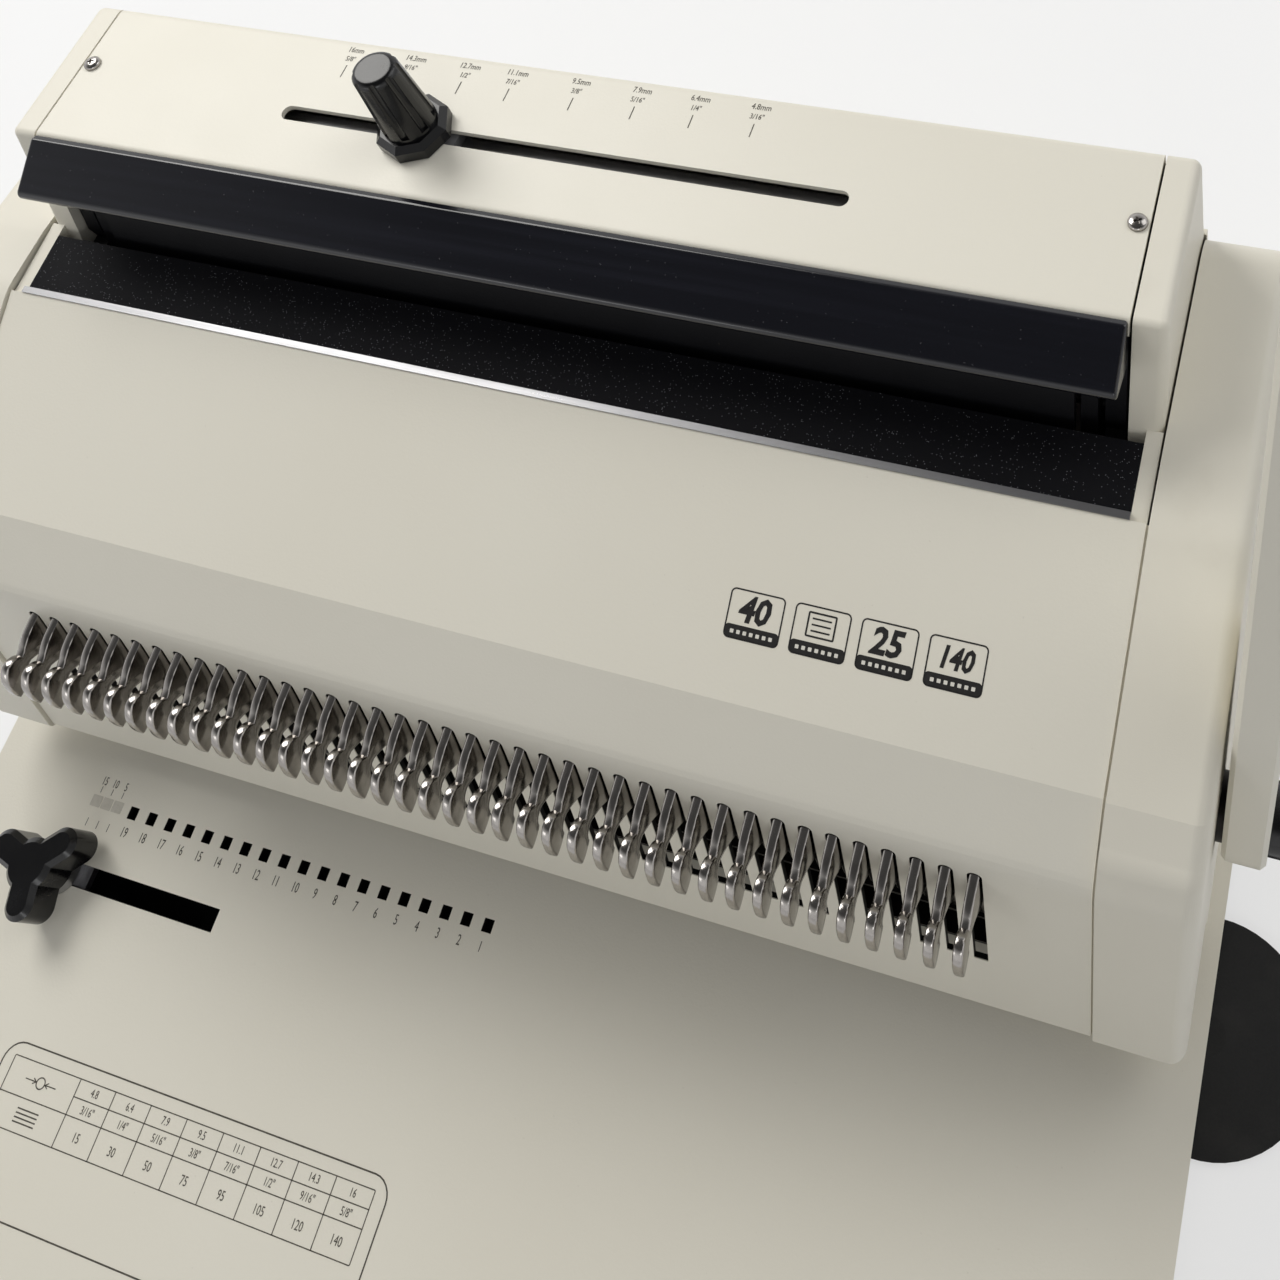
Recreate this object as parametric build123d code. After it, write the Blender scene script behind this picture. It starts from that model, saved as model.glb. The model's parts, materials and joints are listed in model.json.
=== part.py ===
from build123d import *
import math
import os

# Table-top machine that punches a sheet's edge and closes double-loop wire.
# Working frame: X = 0 at the middle of the finger row, Y = 0 at the row of
# windows, Z = 0 on the table top, +Y to the back. save() moves every piece so
# that the origin is the middle of the footprint, on the floor.

# Driving dimensions, in millimetres
FINGERS = 40
PITCH = 8.4667
SIDE_MARGIN = 34.2
COVER_WIDTH = 28.0
TABLE_MARGIN = 5.2
TABLE_RISE = 48.0
TABLE_FRONT = 142.0
TABLE_REAR = 252.0
STROKE_TURN = 85.0
PUNCH_STROKE = 13.0
PRESS_STROKE = 21.5

# Clearances and the overrun of every cut
CUT_OVERRUN = 5.0
FIT = 0.02
RUN_GAP = 0.06
SLIDE_GAP = 0.3
SEAT_GAP = 0.2
SEAM = 0.8
SEAM_DEEP = 1.4

# Outline of the body from the side, as Y and Z above the table
LIP_Y = 20.0
LIP_Z = 19.0
BEND_Y = 59.7
BEND_Z = 119.6
TRAY_Y = 146.0
TRAY_Z = 145.0
BEND_RADIUS = 26.0
SHEET = 2.0
SHEET_BEND = 2.6
LIP_DEPTH = 12.0
HEM = 6.0
HEAD_FRONT_Y = 190.0
HEAD_FRONT_Z = 181.0
HEAD_REAR_Y = 246.0
HEAD_REAR_Z = 176.0
GUIDE_FOOT_Y = 172.0
GUIDE_FOOT_Z = 141.0

# Slots of the front panel and the wire fingers
SLOT_WIDTH = 4.5
SLOT_LENGTH = 53.0
SLOT_TOP_DROP = 20.9
FINGER_THICK = 2.5
FINGER_REACH = 20.2
FINGER_BACK = 14.0
FINGER_BORE_DOWN = 26.0
FINGER_BORE_BACK = 7.5
FINGER_ROD_R = 2.5

# Table, its windows and the edge guide
TABLE_THICK = 3.0
TABLE_CORNER = 9.0
WINDOW_WIDE = 3.9
WINDOW_LONG = 4.3
WINDOWS = 19
GUIDE_SLOT_WIDE = 7.7
GUIDE_SLOT_Y = -24.2
GUIDE_SLOT_LEFT = -208.0
GUIDE_SLOT_RIGHT = -114.3
GUIDE_KNOB_X = -184.0
GUIDE_COLLAR_R = 8.5
GUIDE_COLLAR_TALL = 5.0
GUIDE_STUD_R = 3.0
GUIDE_STUD_TALL = 17.0
GUIDE_CLAMP_LONG = 22.0
GUIDE_CLAMP_WIDE = 16.0
GUIDE_CLAMP_THICK = 3.0
GUIDE_BLOCK_WIDE = 7.1
LOBES = 3
LOBE_REACH = 13.0
LOBE_R = 5.6
LOBE_HUB_R = 9.0
LOBE_TALL = 14.0
LOBE_EDGE = 1.8
LOBE_TURN = 45.0

# Base pan, feet and waste drawer
BASE_WALL = 3.0
BASE_INSET = 1.5
BASE_CORNER = 8.0
BASE_FLOOR_RISE = 8.0
FOOT_R = 36.0
FOOT_EDGE = 2.6
FOOT_NECK_R = 6.0
FOOT_SHOULDER_R = 25.0
FOOT_SHOULDER_RISE = 4.6
FOOT_CUP = 1.2
FOOT_INSET = 0.5
FOOT_FRONT_Y = 31.0
FOOT_REAR_Y = 212.0
PAD_R = 11.0
PAD_CHAMFER = 1.0
PAD_INSET = 27.5
PAD_Y = -116.0
DRAWER_FRONT_Y = 24.0
DRAWER_REAR_Y = 88.0
DRAWER_LONG = 395.0
DRAWER_TALL = 22.0
DRAWER_WALL = 2.0
DRAWER_TRAVEL = 250.0
DRAWER_GAP = 1.0
DRAWER_FACE_OVER = 4.0
DRAWER_FACE_THICK = 3.0
PULL_WIDE = 34.0
PULL_TALL = 4.0
PULL_REACH = 9.0
RUNNER_LEDGE = 5.0
RUNNER_THICK = 2.0
RUNNER_TALL = 10.0

# Frame plates and tie rods
PLATE_INSET = 18.3
PLATE_THICK = 6.0
PLATE_SLACK = 0.4
PLATE_FOOT_Y = 60.0
TIE_R = 5.0
TIE_REAR_Y = 222.0
TIE_LOW_Z = 30.0
TIE_HIGH_Z = 120.0
TIE_MID_Y = 132.0
TIE_MID_Z = 110.0

# Punch set
PUNCH_Y = 52.0
DIE_FRONT_Y = 38.0
DIE_REAR_Y = 104.0
DIE_INSET = 2.4
DIE_THICK = 10.0
DIE_FLANGE = 8.0
THROAT_TALL = 4.5
THROAT_STOP_Y = 57.0
STRIPPER_THICK = 10.0
STRIPPER_REAR_Y = 98.0
PIN_WIDE = 4.0
PIN_DEEP = 4.4
PIN_GAP = 0.1
PIN_TIP_LIFT = 0.8
HOLDER_LIFT = 13.5
HOLDER_TALL = 14.0
HOLDER_GROOVE = 8.0
HOLDER_FRONT_Y = 44.0
HOLDER_STEP_Y = 60.0
HOLDER_REAR_Y = 97.0
HOLDER_MARGIN = 5.4
HOLDER_STEP_IN = 10.5
POST_R = 6.0
POST_INSET = 63.0
POST_Y = 70.5
POST_TALL = 52.0
POST_CHAMFER = 1.0

# Main shaft, cams and rollers
SHAFT_Y = 89.0
SHAFT_Z = 70.0
SHAFT_R = 10.0
BUSH_R = 14.0
BUSH_FLANGE_R = 17.0
BUSH_FLANGE = 2.0
CAM_ROOT_R = 13.8
CAM_LIFT_GAP = 0.3
CAM_THICK = 8.0
CAM_STEPS = 24
PUNCH_CAM_INSET = 41.0
PRESS_CAM_INSET = 10.5
PRESS_CAM_THICK = 5.0
ROLLER_SEAT = 20.1
ROLLER_R = 6.0
ROLLER_PIN_R = 2.5
LUG_THICK = 5.0
LUG_GAP = 0.6
LUG_R = 8.0

# Handle
ARM_GAP = 2.2
ARM_THICK = 13.0
ARM_FOOT_R = 14.5
ARM_TOP_R = 12.5
ARM_LONG = 310.0
ARM_LEAN = 20.0
ARM_EDGE = 1.5
GRIP_LONG = 112.0
GRIP_WIDE = 37.0
GRIP_THICK = 22.0
GRIP_END = 7.0
GRIP_ROUND = 6.0
GRIP_GROOVE_R = 1.6
GRIP_GROOVES = 7
GRIP_GROOVE_STEP = 12.5
HUB_CAP_R = 10.6
HUB_CAP_TALL = 8.0
HUB_CAP_ROUND = 3.0
HUB_BORE_GAP = 0.8

# Side covers and head caps
COVER_WALL = 3.0
COVER_ROUND = 5.0
COVER_STEP = 1.2
COVER_LIP_ROUND = 3.0
COVER_BEND_ROUND = 10.0
COVER_BACK_Y = 244.0
COVER_BACK_Z = 134.6
COVER_BACK_ROUND = 13.0
COVER_FOOT_Y = 58.0
COVER_BOSS_R = 5.0
CAP_INSET = 11.0
CAP_WALL = 2.4
CAP_ROUND = 3.0
CAP_LOW_Z = 130.0
CAP_FOOT_INSET = 5.6
CAP_FOOT_TALL = 4.5
CAP_BOSS_R = 4.0

# Head panel, size slot and knob
SIZE_SLOT_LEFT = -101.0
SIZE_SLOT_RIGHT = 99.0
SIZE_SLOT_BACK = 23.9
SIZE_SLOT_WIDE = 5.6
SIZE_KNOB_X = -49.0
SIZE_STUD_R = 2.4
SIZE_STUD_TALL = 20.0
SIZE_KNOB_TALL = 28.0
SIZE_KNOB_R = 9.0
SIZE_KNOB_TOP_R = 7.4
SIZE_KNOB_DOME = 2.4
SIZE_FLUTES = 8
SIZE_FLUTE_R = 1.5
SIZE_FLANGE_R = 12.5
SIZE_FLANGE_TALL = 6.0
SIZE_FLANGE_SIDES = 8
SIZE_KNOB_LIFT = 0.4
CARRIAGE_LONG = 26.0
CARRIAGE_DEEP = 20.0
CARRIAGE_THICK = 7.0
RAIL_DEEP = 9.0
RAIL_TALL = 8.0
RAIL_GROOVE = 3.0

# Press bar, its arms and the rail that takes the wire
ANVIL_LOW_Z = 134.5
ANVIL_SEAT_Z = 142.0
ANVIL_LIP = 2.2
ANVIL_LIP_Z = 145.6
ANVIL_REAR_Y = 168.9
STRIP_THICK = 1.5
FACE_THICK = 3.0
FACE_INSET = 8.6
FACE_FLANGE_Y = 150.0
BAR_INSET = 12.0
BAR_DOWN = 16.2
BAR_OUT = 19.0
BAR_TOP_OUT = 2.4
BAR_HEEL = 17.6
BAR_GAP = 0.4
BAR_ROUND = 1.4
BAR_NOSE_ROUND = 2.4
BAR_END_ROUND = 1.0
BAR_GROOVE_TALL = 7.0
BAR_GROOVE_DEEP = 2.0
LINK_INSET = 7.0
LINK_THICK = 5.0
LINK_BACK = 22.0
LINK_FRONT = 2.0
LINK_TOP = 7.0
LINK_PAD_LOW = 16.0
LINK_LIMB = 7.2
LINK_STUD_R = 3.0
LINK_STUD_HIGH = 45.0
LINK_STUD_LOW = 95.0

# Screws
SCREW_R = 3.0
SCREW_DOME = 1.8
SCREW_SHANK_R = 1.6
SCREW_LONG = 8.0
SCREW_SLOT = 0.7
SCREW_BACK = 31.0

# Outline of a finger, in shares down the slot and out of the panel
FINGER_TOP_SHARES = ((0.025, -0.015), (0.055, 0.158), (0.094, 0.347), (0.147, 0.495), (0.164, 0.564))
FINGER_NOSE_SHARES = ((0.13, 0.708), (0.143, 0.876), (0.194, 0.965), (0.274, 1.0), (0.343, 0.99), (0.404, 0.936))
FINGER_LOW_SHARES = ((0.385, 0.772), (0.343, 0.624), (0.275, 0.574), (0.257, 0.475), (0.283, 0.277), (0.351, 0.01))
FINGER_BACK_SHARES = ((0.37, -0.2), (0.64, -0.36), (0.64, -1.0), (0.26, -1.0), (0.08, -0.45))

# Sizes worked out from the driving dimensions
CENTRE_Y = (TABLE_REAR - TABLE_FRONT) / 2
ROW_HALF = (FINGERS - 1) / 2 * PITCH
BODY_HALF = ROW_HALF + SIDE_MARGIN
COVER_OUT = BODY_HALF + COVER_WIDTH
TABLE_HALF = COVER_OUT + TABLE_MARGIN
FOOT_X = TABLE_HALF - FOOT_INSET
PAD_X = TABLE_HALF - PAD_INSET
PLATE_IN = BODY_HALF - PLATE_INSET
DIE_HALF = PLATE_IN - DIE_INSET
HOLDER_HALF = ROW_HALF + HOLDER_MARGIN
HOLDER_REAR_HALF = HOLDER_HALF - HOLDER_STEP_IN
POST_X = PLATE_IN - POST_INSET
PUNCH_CAM_X = PLATE_IN - PUNCH_CAM_INSET
PRESS_CAM_X = PLATE_IN - PRESS_CAM_INSET
LINK_IN = PLATE_IN - LINK_INSET
FACE_HALF = PLATE_IN - FACE_INSET
ARM_IN = COVER_OUT + ARM_GAP
CAP_IN = BODY_HALF - CAP_INSET
CAP_OUT = BODY_HALF - SEAM
ANVIL_HALF = BODY_HALF - CAP_FOOT_INSET
BAR_HALF = BODY_HALF - BAR_INSET
PAN_LOW_Z = -TABLE_RISE + BASE_FLOOR_RISE
PAN_FLOOR_Z = PAN_LOW_Z + BASE_WALL
DRAWER_LOW_Z = PAN_FLOOR_Z + RUNNER_THICK + SEAT_GAP
FACE_RUN = math.hypot(BEND_Y - LIP_Y, BEND_Z - LIP_Z)
FACE_DOWN = ((LIP_Y - BEND_Y) / FACE_RUN, (LIP_Z - BEND_Z) / FACE_RUN)
FACE_OUT = (FACE_DOWN[1], -FACE_DOWN[0])
GUIDE_RUN = math.hypot(HEAD_FRONT_Y - GUIDE_FOOT_Y, HEAD_FRONT_Z - GUIDE_FOOT_Z)
PRESS_DOWN = ((GUIDE_FOOT_Y - HEAD_FRONT_Y) / GUIDE_RUN, (GUIDE_FOOT_Z - HEAD_FRONT_Z) / GUIDE_RUN)
PRESS_OUT = (PRESS_DOWN[1], -PRESS_DOWN[0])
STRIPPER_TOP = THROAT_TALL + STRIPPER_THICK
HOLDER_LOW = STRIPPER_TOP + HOLDER_LIFT
HOLDER_TOP = HOLDER_LOW + HOLDER_TALL
TURN = math.radians(STROKE_TURN)
HEAD_TILT = math.degrees(math.atan2(HEAD_FRONT_Z - HEAD_REAR_Z, HEAD_REAR_Y - HEAD_FRONT_Y))
PRESS_ROLLER = (SHAFT_Y + PRESS_DOWN[0] * ROLLER_SEAT, SHAFT_Z + PRESS_DOWN[1] * ROLLER_SEAT)
PUNCH_ROLLER = (SHAFT_Y, SHAFT_Z - ROLLER_SEAT)
PLATE_OUT = PLATE_IN + PLATE_THICK


def panel_point(down, out):
    """Y and Z of a point of the slotted face, from the top of the slots."""
    start = SLOT_TOP_DROP + down
    y = BEND_Y + FACE_DOWN[0] * start + FACE_OUT[0] * out
    z = BEND_Z + FACE_DOWN[1] * start + FACE_OUT[1] * out
    return (y, z)


def press_point(down, out):
    """Y and Z of a point of the press bar's slide, from the head's front edge."""
    y = HEAD_FRONT_Y + PRESS_DOWN[0] * down + PRESS_OUT[0] * out
    z = HEAD_FRONT_Z + PRESS_DOWN[1] * down + PRESS_OUT[1] * out
    return (y, z)


def on_run(start, end, z):
    """The point of a straight run at height z."""
    share = (z - start[1]) / (end[1] - start[1])
    return (start[0] + (end[0] - start[0]) * share, z)


def beside(points, gap):
    """The open path moved by gap to its left, with mitred corners."""
    moved = []
    for first, last in zip(points, points[1:]):
        run = math.dist(first, last)
        side = (-(last[1] - first[1]) / run * gap, (last[0] - first[0]) / run * gap)
        moved.append([(p[0] + side[0], p[1] + side[1]) for p in (first, last)])
    path = [moved[0][0]]
    for one, two in zip(moved, moved[1:]):
        a = (one[1][0] - one[0][0], one[1][1] - one[0][1])
        b = (two[1][0] - two[0][0], two[1][1] - two[0][1])
        cross = a[0] * b[1] - a[1] * b[0]
        gap_y = two[0][0] - one[0][0]
        gap_z = two[0][1] - one[0][1]
        share = (gap_y * b[1] - gap_z * b[0]) / cross
        path.append((one[0][0] + a[0] * share, one[0][1] + a[1] * share))
    path.append(moved[-1][1])
    return path


def outline(points, radii=0):
    """A face of the Y-Z plane inside the points."""
    if radii == 0:
        line = Polyline(*points, close=True)
    else:
        line = FilletPolyline(*points, radius=radii, close=True)
    return make_face(Plane.YZ * line)


def across(face, low, high):
    """A face of the Y-Z plane carried along X."""
    return Pos(low, 0, 0) * extrude(face, amount=high - low, dir=(1, 0, 0))


def bent_sheet(points, radii, thick, low, high):
    """Sheet of one thickness on the left of an open path."""
    back = beside(points, thick)
    inner = []
    for index, radius in enumerate(radii):
        before, corner, after = points[index:index + 3]
        turn = (corner[0] - before[0]) * (after[1] - corner[1])
        turn = turn - (corner[1] - before[1]) * (after[0] - corner[0])
        inner.append(radius - thick if turn > 0 else radius + thick)
    ends = [0, 0]
    rounds = ends[:1] + list(radii) + ends + inner[::-1] + ends[:1]
    return across(outline(list(points) + back[::-1], rounds), low, high)


def block(low, high):
    """A box between two corners."""
    size = [high[i] - low[i] for i in range(3)]
    middle = [(high[i] + low[i]) / 2 for i in range(3)]
    return Pos(*middle) * Box(*size)


def rod_x(centre, radius, low, high):
    """A round bar along X, with its centre in Y and Z."""
    bar = Cylinder(radius, high - low, align=(Align.CENTER, Align.CENTER, Align.MIN))
    return Pos(low, centre[0], centre[1]) * Rot(0, 90, 0) * bar


def rod_z(centre, radius, low, high):
    """A round bar along Z, with its centre in X and Y."""
    bar = Cylinder(radius, high - low, align=(Align.CENTER, Align.CENTER, Align.MIN))
    return Pos(centre[0], centre[1], low) * bar


def both_sides(shape):
    """The shape and its mirror image in the middle plane."""
    return [shape, mirror(shape, about=Plane.YZ)]


def pitch_places():
    """The X places of the fingers, slots and punches."""
    return [(i - (FINGERS - 1) / 2) * PITCH for i in range(FINGERS)]


def save(shapes, node):
    """Write one node, moved from the working frame to the part's frame."""
    shapes = shapes if isinstance(shapes, list) else [shapes]
    solids = [solid for shape in shapes for solid in shape.solids()]
    whole = Pos(0, -CENTRE_Y, TABLE_RISE) * Compound(solids)
    export_step(whole, "parts/" + node + ".step")


# Base pan, table and feet
def base_pan():
    front = -TABLE_FRONT + BASE_INSET
    rear = TABLE_REAR - BASE_INSET
    half = TABLE_HALF - BASE_INSET
    pan = block((-half, front, PAN_LOW_Z), (half, rear, -TABLE_THICK))
    pan = fillet(pan.edges().filter_by(Axis.Z), BASE_CORNER)
    low = (BASE_WALL - half, front + BASE_WALL, PAN_FLOOR_Z)
    high = (half - BASE_WALL, rear - BASE_WALL, CUT_OVERRUN)
    hollow = block(low, high)
    hollow = fillet(hollow.edges().filter_by(Axis.Z), BASE_CORNER - BASE_WALL)
    door_low = (-half - CUT_OVERRUN, DRAWER_FRONT_Y - DRAWER_GAP, DRAWER_LOW_Z - DRAWER_GAP)
    door_high = (CUT_OVERRUN - half, DRAWER_REAR_Y + DRAWER_GAP, DRAWER_LOW_Z + DRAWER_TALL + DRAWER_GAP)
    return pan - hollow - block(door_low, door_high)


def table_plate():
    low = (-TABLE_HALF, -TABLE_FRONT, -TABLE_THICK)
    plate = block(low, (TABLE_HALF, TABLE_REAR, 0))
    plate = fillet(plate.edges().filter_by(Axis.Z), TABLE_CORNER)
    cuts = []
    for number in range(1, WINDOWS + 1):
        x = -(number + 1 / 2) * PITCH
        low = (x - WINDOW_WIDE / 2, -WINDOW_LONG / 2, -TABLE_THICK - CUT_OVERRUN)
        cuts.append(block(low, (x + WINDOW_WIDE / 2, WINDOW_LONG / 2, CUT_OVERRUN)))
    slot = block(
        (GUIDE_SLOT_LEFT, GUIDE_SLOT_Y - GUIDE_SLOT_WIDE / 2, -TABLE_THICK - CUT_OVERRUN),
        (GUIDE_SLOT_RIGHT, GUIDE_SLOT_Y + GUIDE_SLOT_WIDE / 2, CUT_OVERRUN),
    )
    cuts.append(slot)
    cuts.append(block(
        (-DIE_HALF - SEAT_GAP, DIE_FRONT_Y - SEAT_GAP, -TABLE_THICK - CUT_OVERRUN),
        (DIE_HALF + SEAT_GAP, DIE_REAR_Y + SEAT_GAP, CUT_OVERRUN),
    ))
    return plate - Compound([s for cut in cuts for s in cut.solids()])


def suction_feet():
    rise = BASE_FLOOR_RISE
    profile = Polyline(
        (0, rise),
        (FOOT_NECK_R, rise),
        (FOOT_SHOULDER_R, FOOT_SHOULDER_RISE),
        (FOOT_R, FOOT_EDGE),
        (FOOT_R, 0),
        (FOOT_R - FOOT_EDGE, 0),
        (0, FOOT_CUP),
        close=True,
    )
    foot = revolve(make_face(Plane.XZ * profile), Axis.Z)
    places = [(x, y) for x in (-FOOT_X, FOOT_X) for y in (FOOT_FRONT_Y, FOOT_REAR_Y)]
    return [Pos(x, y, -TABLE_RISE) * foot for x, y in places]


def front_pads():
    pads = []
    for x in (-PAD_X, PAD_X):
        pad = rod_z((x, PAD_Y), PAD_R, -TABLE_RISE, PAN_LOW_Z)
        pads.append(chamfer(pad.edges().sort_by(Axis.Z)[0], PAD_CHAMFER))
    return pads


# Waste drawer on two angle runners
def waste_drawer():
    left = -TABLE_HALF - DRAWER_FACE_THICK
    low = (left, DRAWER_FRONT_Y, DRAWER_LOW_Z)
    high = (left + DRAWER_LONG, DRAWER_REAR_Y, DRAWER_LOW_Z + DRAWER_TALL)
    tray = block(low, high)
    hollow = block(
        (low[0] + DRAWER_FACE_THICK, low[1] + DRAWER_WALL, low[2] + DRAWER_WALL),
        (high[0] - DRAWER_WALL, high[1] - DRAWER_WALL, high[2] + CUT_OVERRUN),
    )
    over = DRAWER_FACE_OVER
    face = block(
        (left, low[1] - over, low[2] - DRAWER_GAP),
        (left + DRAWER_FACE_THICK, high[1] + over, high[2] + over),
    )
    middle = (DRAWER_FRONT_Y + DRAWER_REAR_Y) / 2
    pull = block(
        (left - PULL_REACH, middle - PULL_WIDE / 2, high[2] - PULL_TALL),
        (left, middle + PULL_WIDE / 2, high[2]),
    )
    pull = fillet(pull.edges().filter_by(Axis.Z).sort_by(Axis.X)[:2], PULL_REACH / 2)
    return tray - hollow + face + pull


def drawer_runners():
    left = -TABLE_HALF + BASE_INSET + BASE_WALL
    right = left + DRAWER_LONG
    runners = []
    for edge, side in ((DRAWER_FRONT_Y, -1), (DRAWER_REAR_Y, 1)):
        wall = edge + side * SLIDE_GAP
        outer = wall + side * RUNNER_THICK
        inner = edge - side * RUNNER_LEDGE
        ledge_low = (left, min(inner, outer), PAN_FLOOR_Z)
        ledge = block(ledge_low, (right, max(inner, outer), PAN_FLOOR_Z + RUNNER_THICK))
        wall_low = (left, min(wall, outer), PAN_FLOOR_Z)
        runners.append(ledge + block(wall_low, (right, max(wall, outer), PAN_FLOOR_Z + RUNNER_TALL)))
    return runners


# Front panel, with its forty slots, and the fingers on their rod
def front_line():
    return [(LIP_Y, LIP_Z), (BEND_Y, BEND_Z), (TRAY_Y, TRAY_Z)]


def panel_slots():
    top = SLOT_WIDTH / 2
    cutter = Pos(0, top, 0) * Rectangle(SLOT_WIDTH, SLOT_LENGTH - top, align=(Align.CENTER, Align.MIN))
    cutter = cutter + Pos(0, top, 0) * Circle(top)
    reach = SHEET + CUT_OVERRUN
    start = panel_point(0, CUT_OVERRUN)
    plane = Plane(
        origin=(0, start[0], start[1]),
        x_dir=(1, 0, 0),
        z_dir=(0, -FACE_OUT[0], -FACE_OUT[1]),
    )
    slot = extrude(plane * cutter, amount=reach + SHEET)
    if (slot.center().Z - start[1]) * FACE_DOWN[1] < 0:
        slot = extrude(plane * mirror(cutter, about=Plane.XZ), amount=reach + SHEET)
    return [Pos(x, 0, 0) * slot for x in pitch_places()]


def front_panel():
    path = [(LIP_Y + LIP_DEPTH, LIP_Z)] + front_line()
    panel = bent_sheet(path[::-1], [BEND_RADIUS, SHEET_BEND], SHEET, -BODY_HALF, BODY_HALF)
    half = BODY_HALF + CUT_OVERRUN
    end = block((-half, TRAY_Y, 0), (half, TRAY_Y + CUT_OVERRUN, TRAY_Z + CUT_OVERRUN))
    panel = panel - Compound([end] + [s for cut in panel_slots() for s in cut.solids()])
    outer = beside(path[::-1], -CUT_OVERRUN)
    bends = [BEND_RADIUS + CUT_OVERRUN, SHEET_BEND + CUT_OVERRUN]
    rebate = bent_sheet(outer, bends, SEAM_DEEP + CUT_OVERRUN, BODY_HALF - SEAM, half)
    return panel - Compound([s for side in both_sides(rebate) for s in side.solids()])


def finger_shape():
    top = [panel_point(a * SLOT_LENGTH, b * FINGER_REACH) for a, b in FINGER_TOP_SHARES]
    nose = [panel_point(a * SLOT_LENGTH, b * FINGER_REACH) for a, b in FINGER_NOSE_SHARES]
    low = [panel_point(a * SLOT_LENGTH, b * FINGER_REACH) for a, b in FINGER_LOW_SHARES]
    back = [panel_point(a * SLOT_LENGTH, b * FINGER_BACK) for a, b in FINGER_BACK_SHARES]
    edges = [
        Line(top[0], top[1]),
        ThreePointArc(top[1], top[2], top[3]),
        Line(top[3], top[4]),
        ThreePointArc(top[4], nose[0], nose[1]),
        ThreePointArc(nose[1], nose[2], nose[3]),
        ThreePointArc(nose[3], nose[4], nose[5]),
        ThreePointArc(nose[5], low[0], low[1]),
        ThreePointArc(low[1], low[2], low[3]),
        ThreePointArc(low[3], low[4], low[5]),
        Polyline(low[5], *back, top[0]),
    ]
    face = make_face(Plane.YZ * Wire([edge for line in edges for edge in line.edges()]))
    bore = panel_point(FINGER_BORE_DOWN, -FINGER_BORE_BACK)
    plate = across(face, -FINGER_THICK / 2, FINGER_THICK / 2)
    hole = rod_x(bore, FINGER_ROD_R + FIT, -FINGER_THICK, FINGER_THICK)
    return plate - hole


def wire_fingers():
    finger = finger_shape()
    return [Pos(x, 0, 0) * finger for x in pitch_places()]


def finger_rod():
    bore = panel_point(FINGER_BORE_DOWN, -FINGER_BORE_BACK)
    return rod_x(bore, FINGER_ROD_R, -PLATE_IN, PLATE_IN)


# Side covers, hollow mouldings that leave the paper throat open at both ends
def right_side_cover():
    line = beside(front_line(), COVER_STEP)
    top = TRAY_Z + COVER_STEP
    foot = on_run(line[0], line[1], LIP_Z)
    points = [
        (COVER_FOOT_Y, 0),
        (COVER_FOOT_Y, LIP_Z),
        foot,
        line[1],
        (TRAY_Y, top),
        (ANVIL_REAR_Y, top - COVER_STEP),
        (COVER_BACK_Y, COVER_BACK_Z),
        (COVER_BACK_Y, 0),
    ]
    rounds = [0, COVER_LIP_ROUND, COVER_LIP_ROUND, COVER_BEND_ROUND]
    rounds = rounds + [BEND_RADIUS, BEND_RADIUS, COVER_BACK_ROUND, 0]
    skin = outline(points, rounds)
    cover = across(skin, BODY_HALF, COVER_OUT)
    rim = cover.faces().sort_by(Axis.X)[-1].edges()
    rim = [edge for edge in rim if edge.center().Z > COVER_ROUND]
    cover = fillet(rim, COVER_ROUND)
    core = offset(skin, amount=-COVER_WALL)
    cover = cover - across(core, BODY_HALF - CUT_OVERRUN, COVER_OUT - COVER_WALL)
    for spot in cover_boss_spots():
        cover = cover + rod_x(spot, COVER_BOSS_R, PLATE_OUT, COVER_OUT - COVER_WALL)
    return cover


def cover_boss_spots():
    return [(TIE_REAR_Y, TIE_LOW_Z), (TIE_REAR_Y, TIE_HIGH_Z), (TIE_MID_Y, TIE_MID_Z)]


# Frame plates that carry the shaft, the slides and the head
def frame_plate():
    inside = beside(front_line(), -SHEET - PLATE_SLACK)
    low = LIP_Z + SHEET + PLATE_SLACK
    front_low = on_run(inside[0], inside[1], low)
    rear = HEAD_REAR_Y - SHEET - PLATE_SLACK
    top_line = beside([(HEAD_FRONT_Y, HEAD_FRONT_Z), (HEAD_REAR_Y, HEAD_REAR_Z)], -SHEET)
    slope = (top_line[1][1] - top_line[0][1]) / (top_line[1][0] - top_line[0][0])
    head = press_point(SHEET + PLATE_SLACK, -FACE_THICK)
    head = (head[0], top_line[0][1] + slope * (head[0] - top_line[0][0]))
    heel = press_point(GUIDE_RUN, -FACE_THICK)
    tray_z = inside[1][1] + (inside[2][1] - inside[1][1]) * (
        (TRAY_Y - PLATE_SLACK - inside[1][0]) / (inside[2][0] - inside[1][0]))
    points = [
        (PLATE_FOOT_Y, 0),
        (PLATE_FOOT_Y, low),
        front_low,
        inside[1],
        (TRAY_Y - PLATE_SLACK, tray_z),
        (TRAY_Y - PLATE_SLACK, ANVIL_LOW_Z),
        (heel[0], ANVIL_LOW_Z),
        heel,
        head,
        (rear, top_line[0][1] + slope * (rear - top_line[0][0])),
        (rear, 0),
    ]
    rounds = [0, 0, 0, BEND_RADIUS - SHEET, 0, 0, 0, 0, 0, 0, 0]
    plate = across(outline(points, rounds), PLATE_IN, PLATE_OUT)
    plate = plate - rod_x((SHAFT_Y, SHAFT_Z), BUSH_R + FIT, PLATE_IN - CUT_OVERRUN, PLATE_OUT + CUT_OVERRUN)
    screw = head_place(SCREW_BACK, 0)
    return plate - tilted_rod((PLATE_IN + PLATE_OUT) / 2, screw, SCREW_SHANK_R + FIT, -SCREW_LONG - CUT_OVERRUN, 0)


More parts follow.
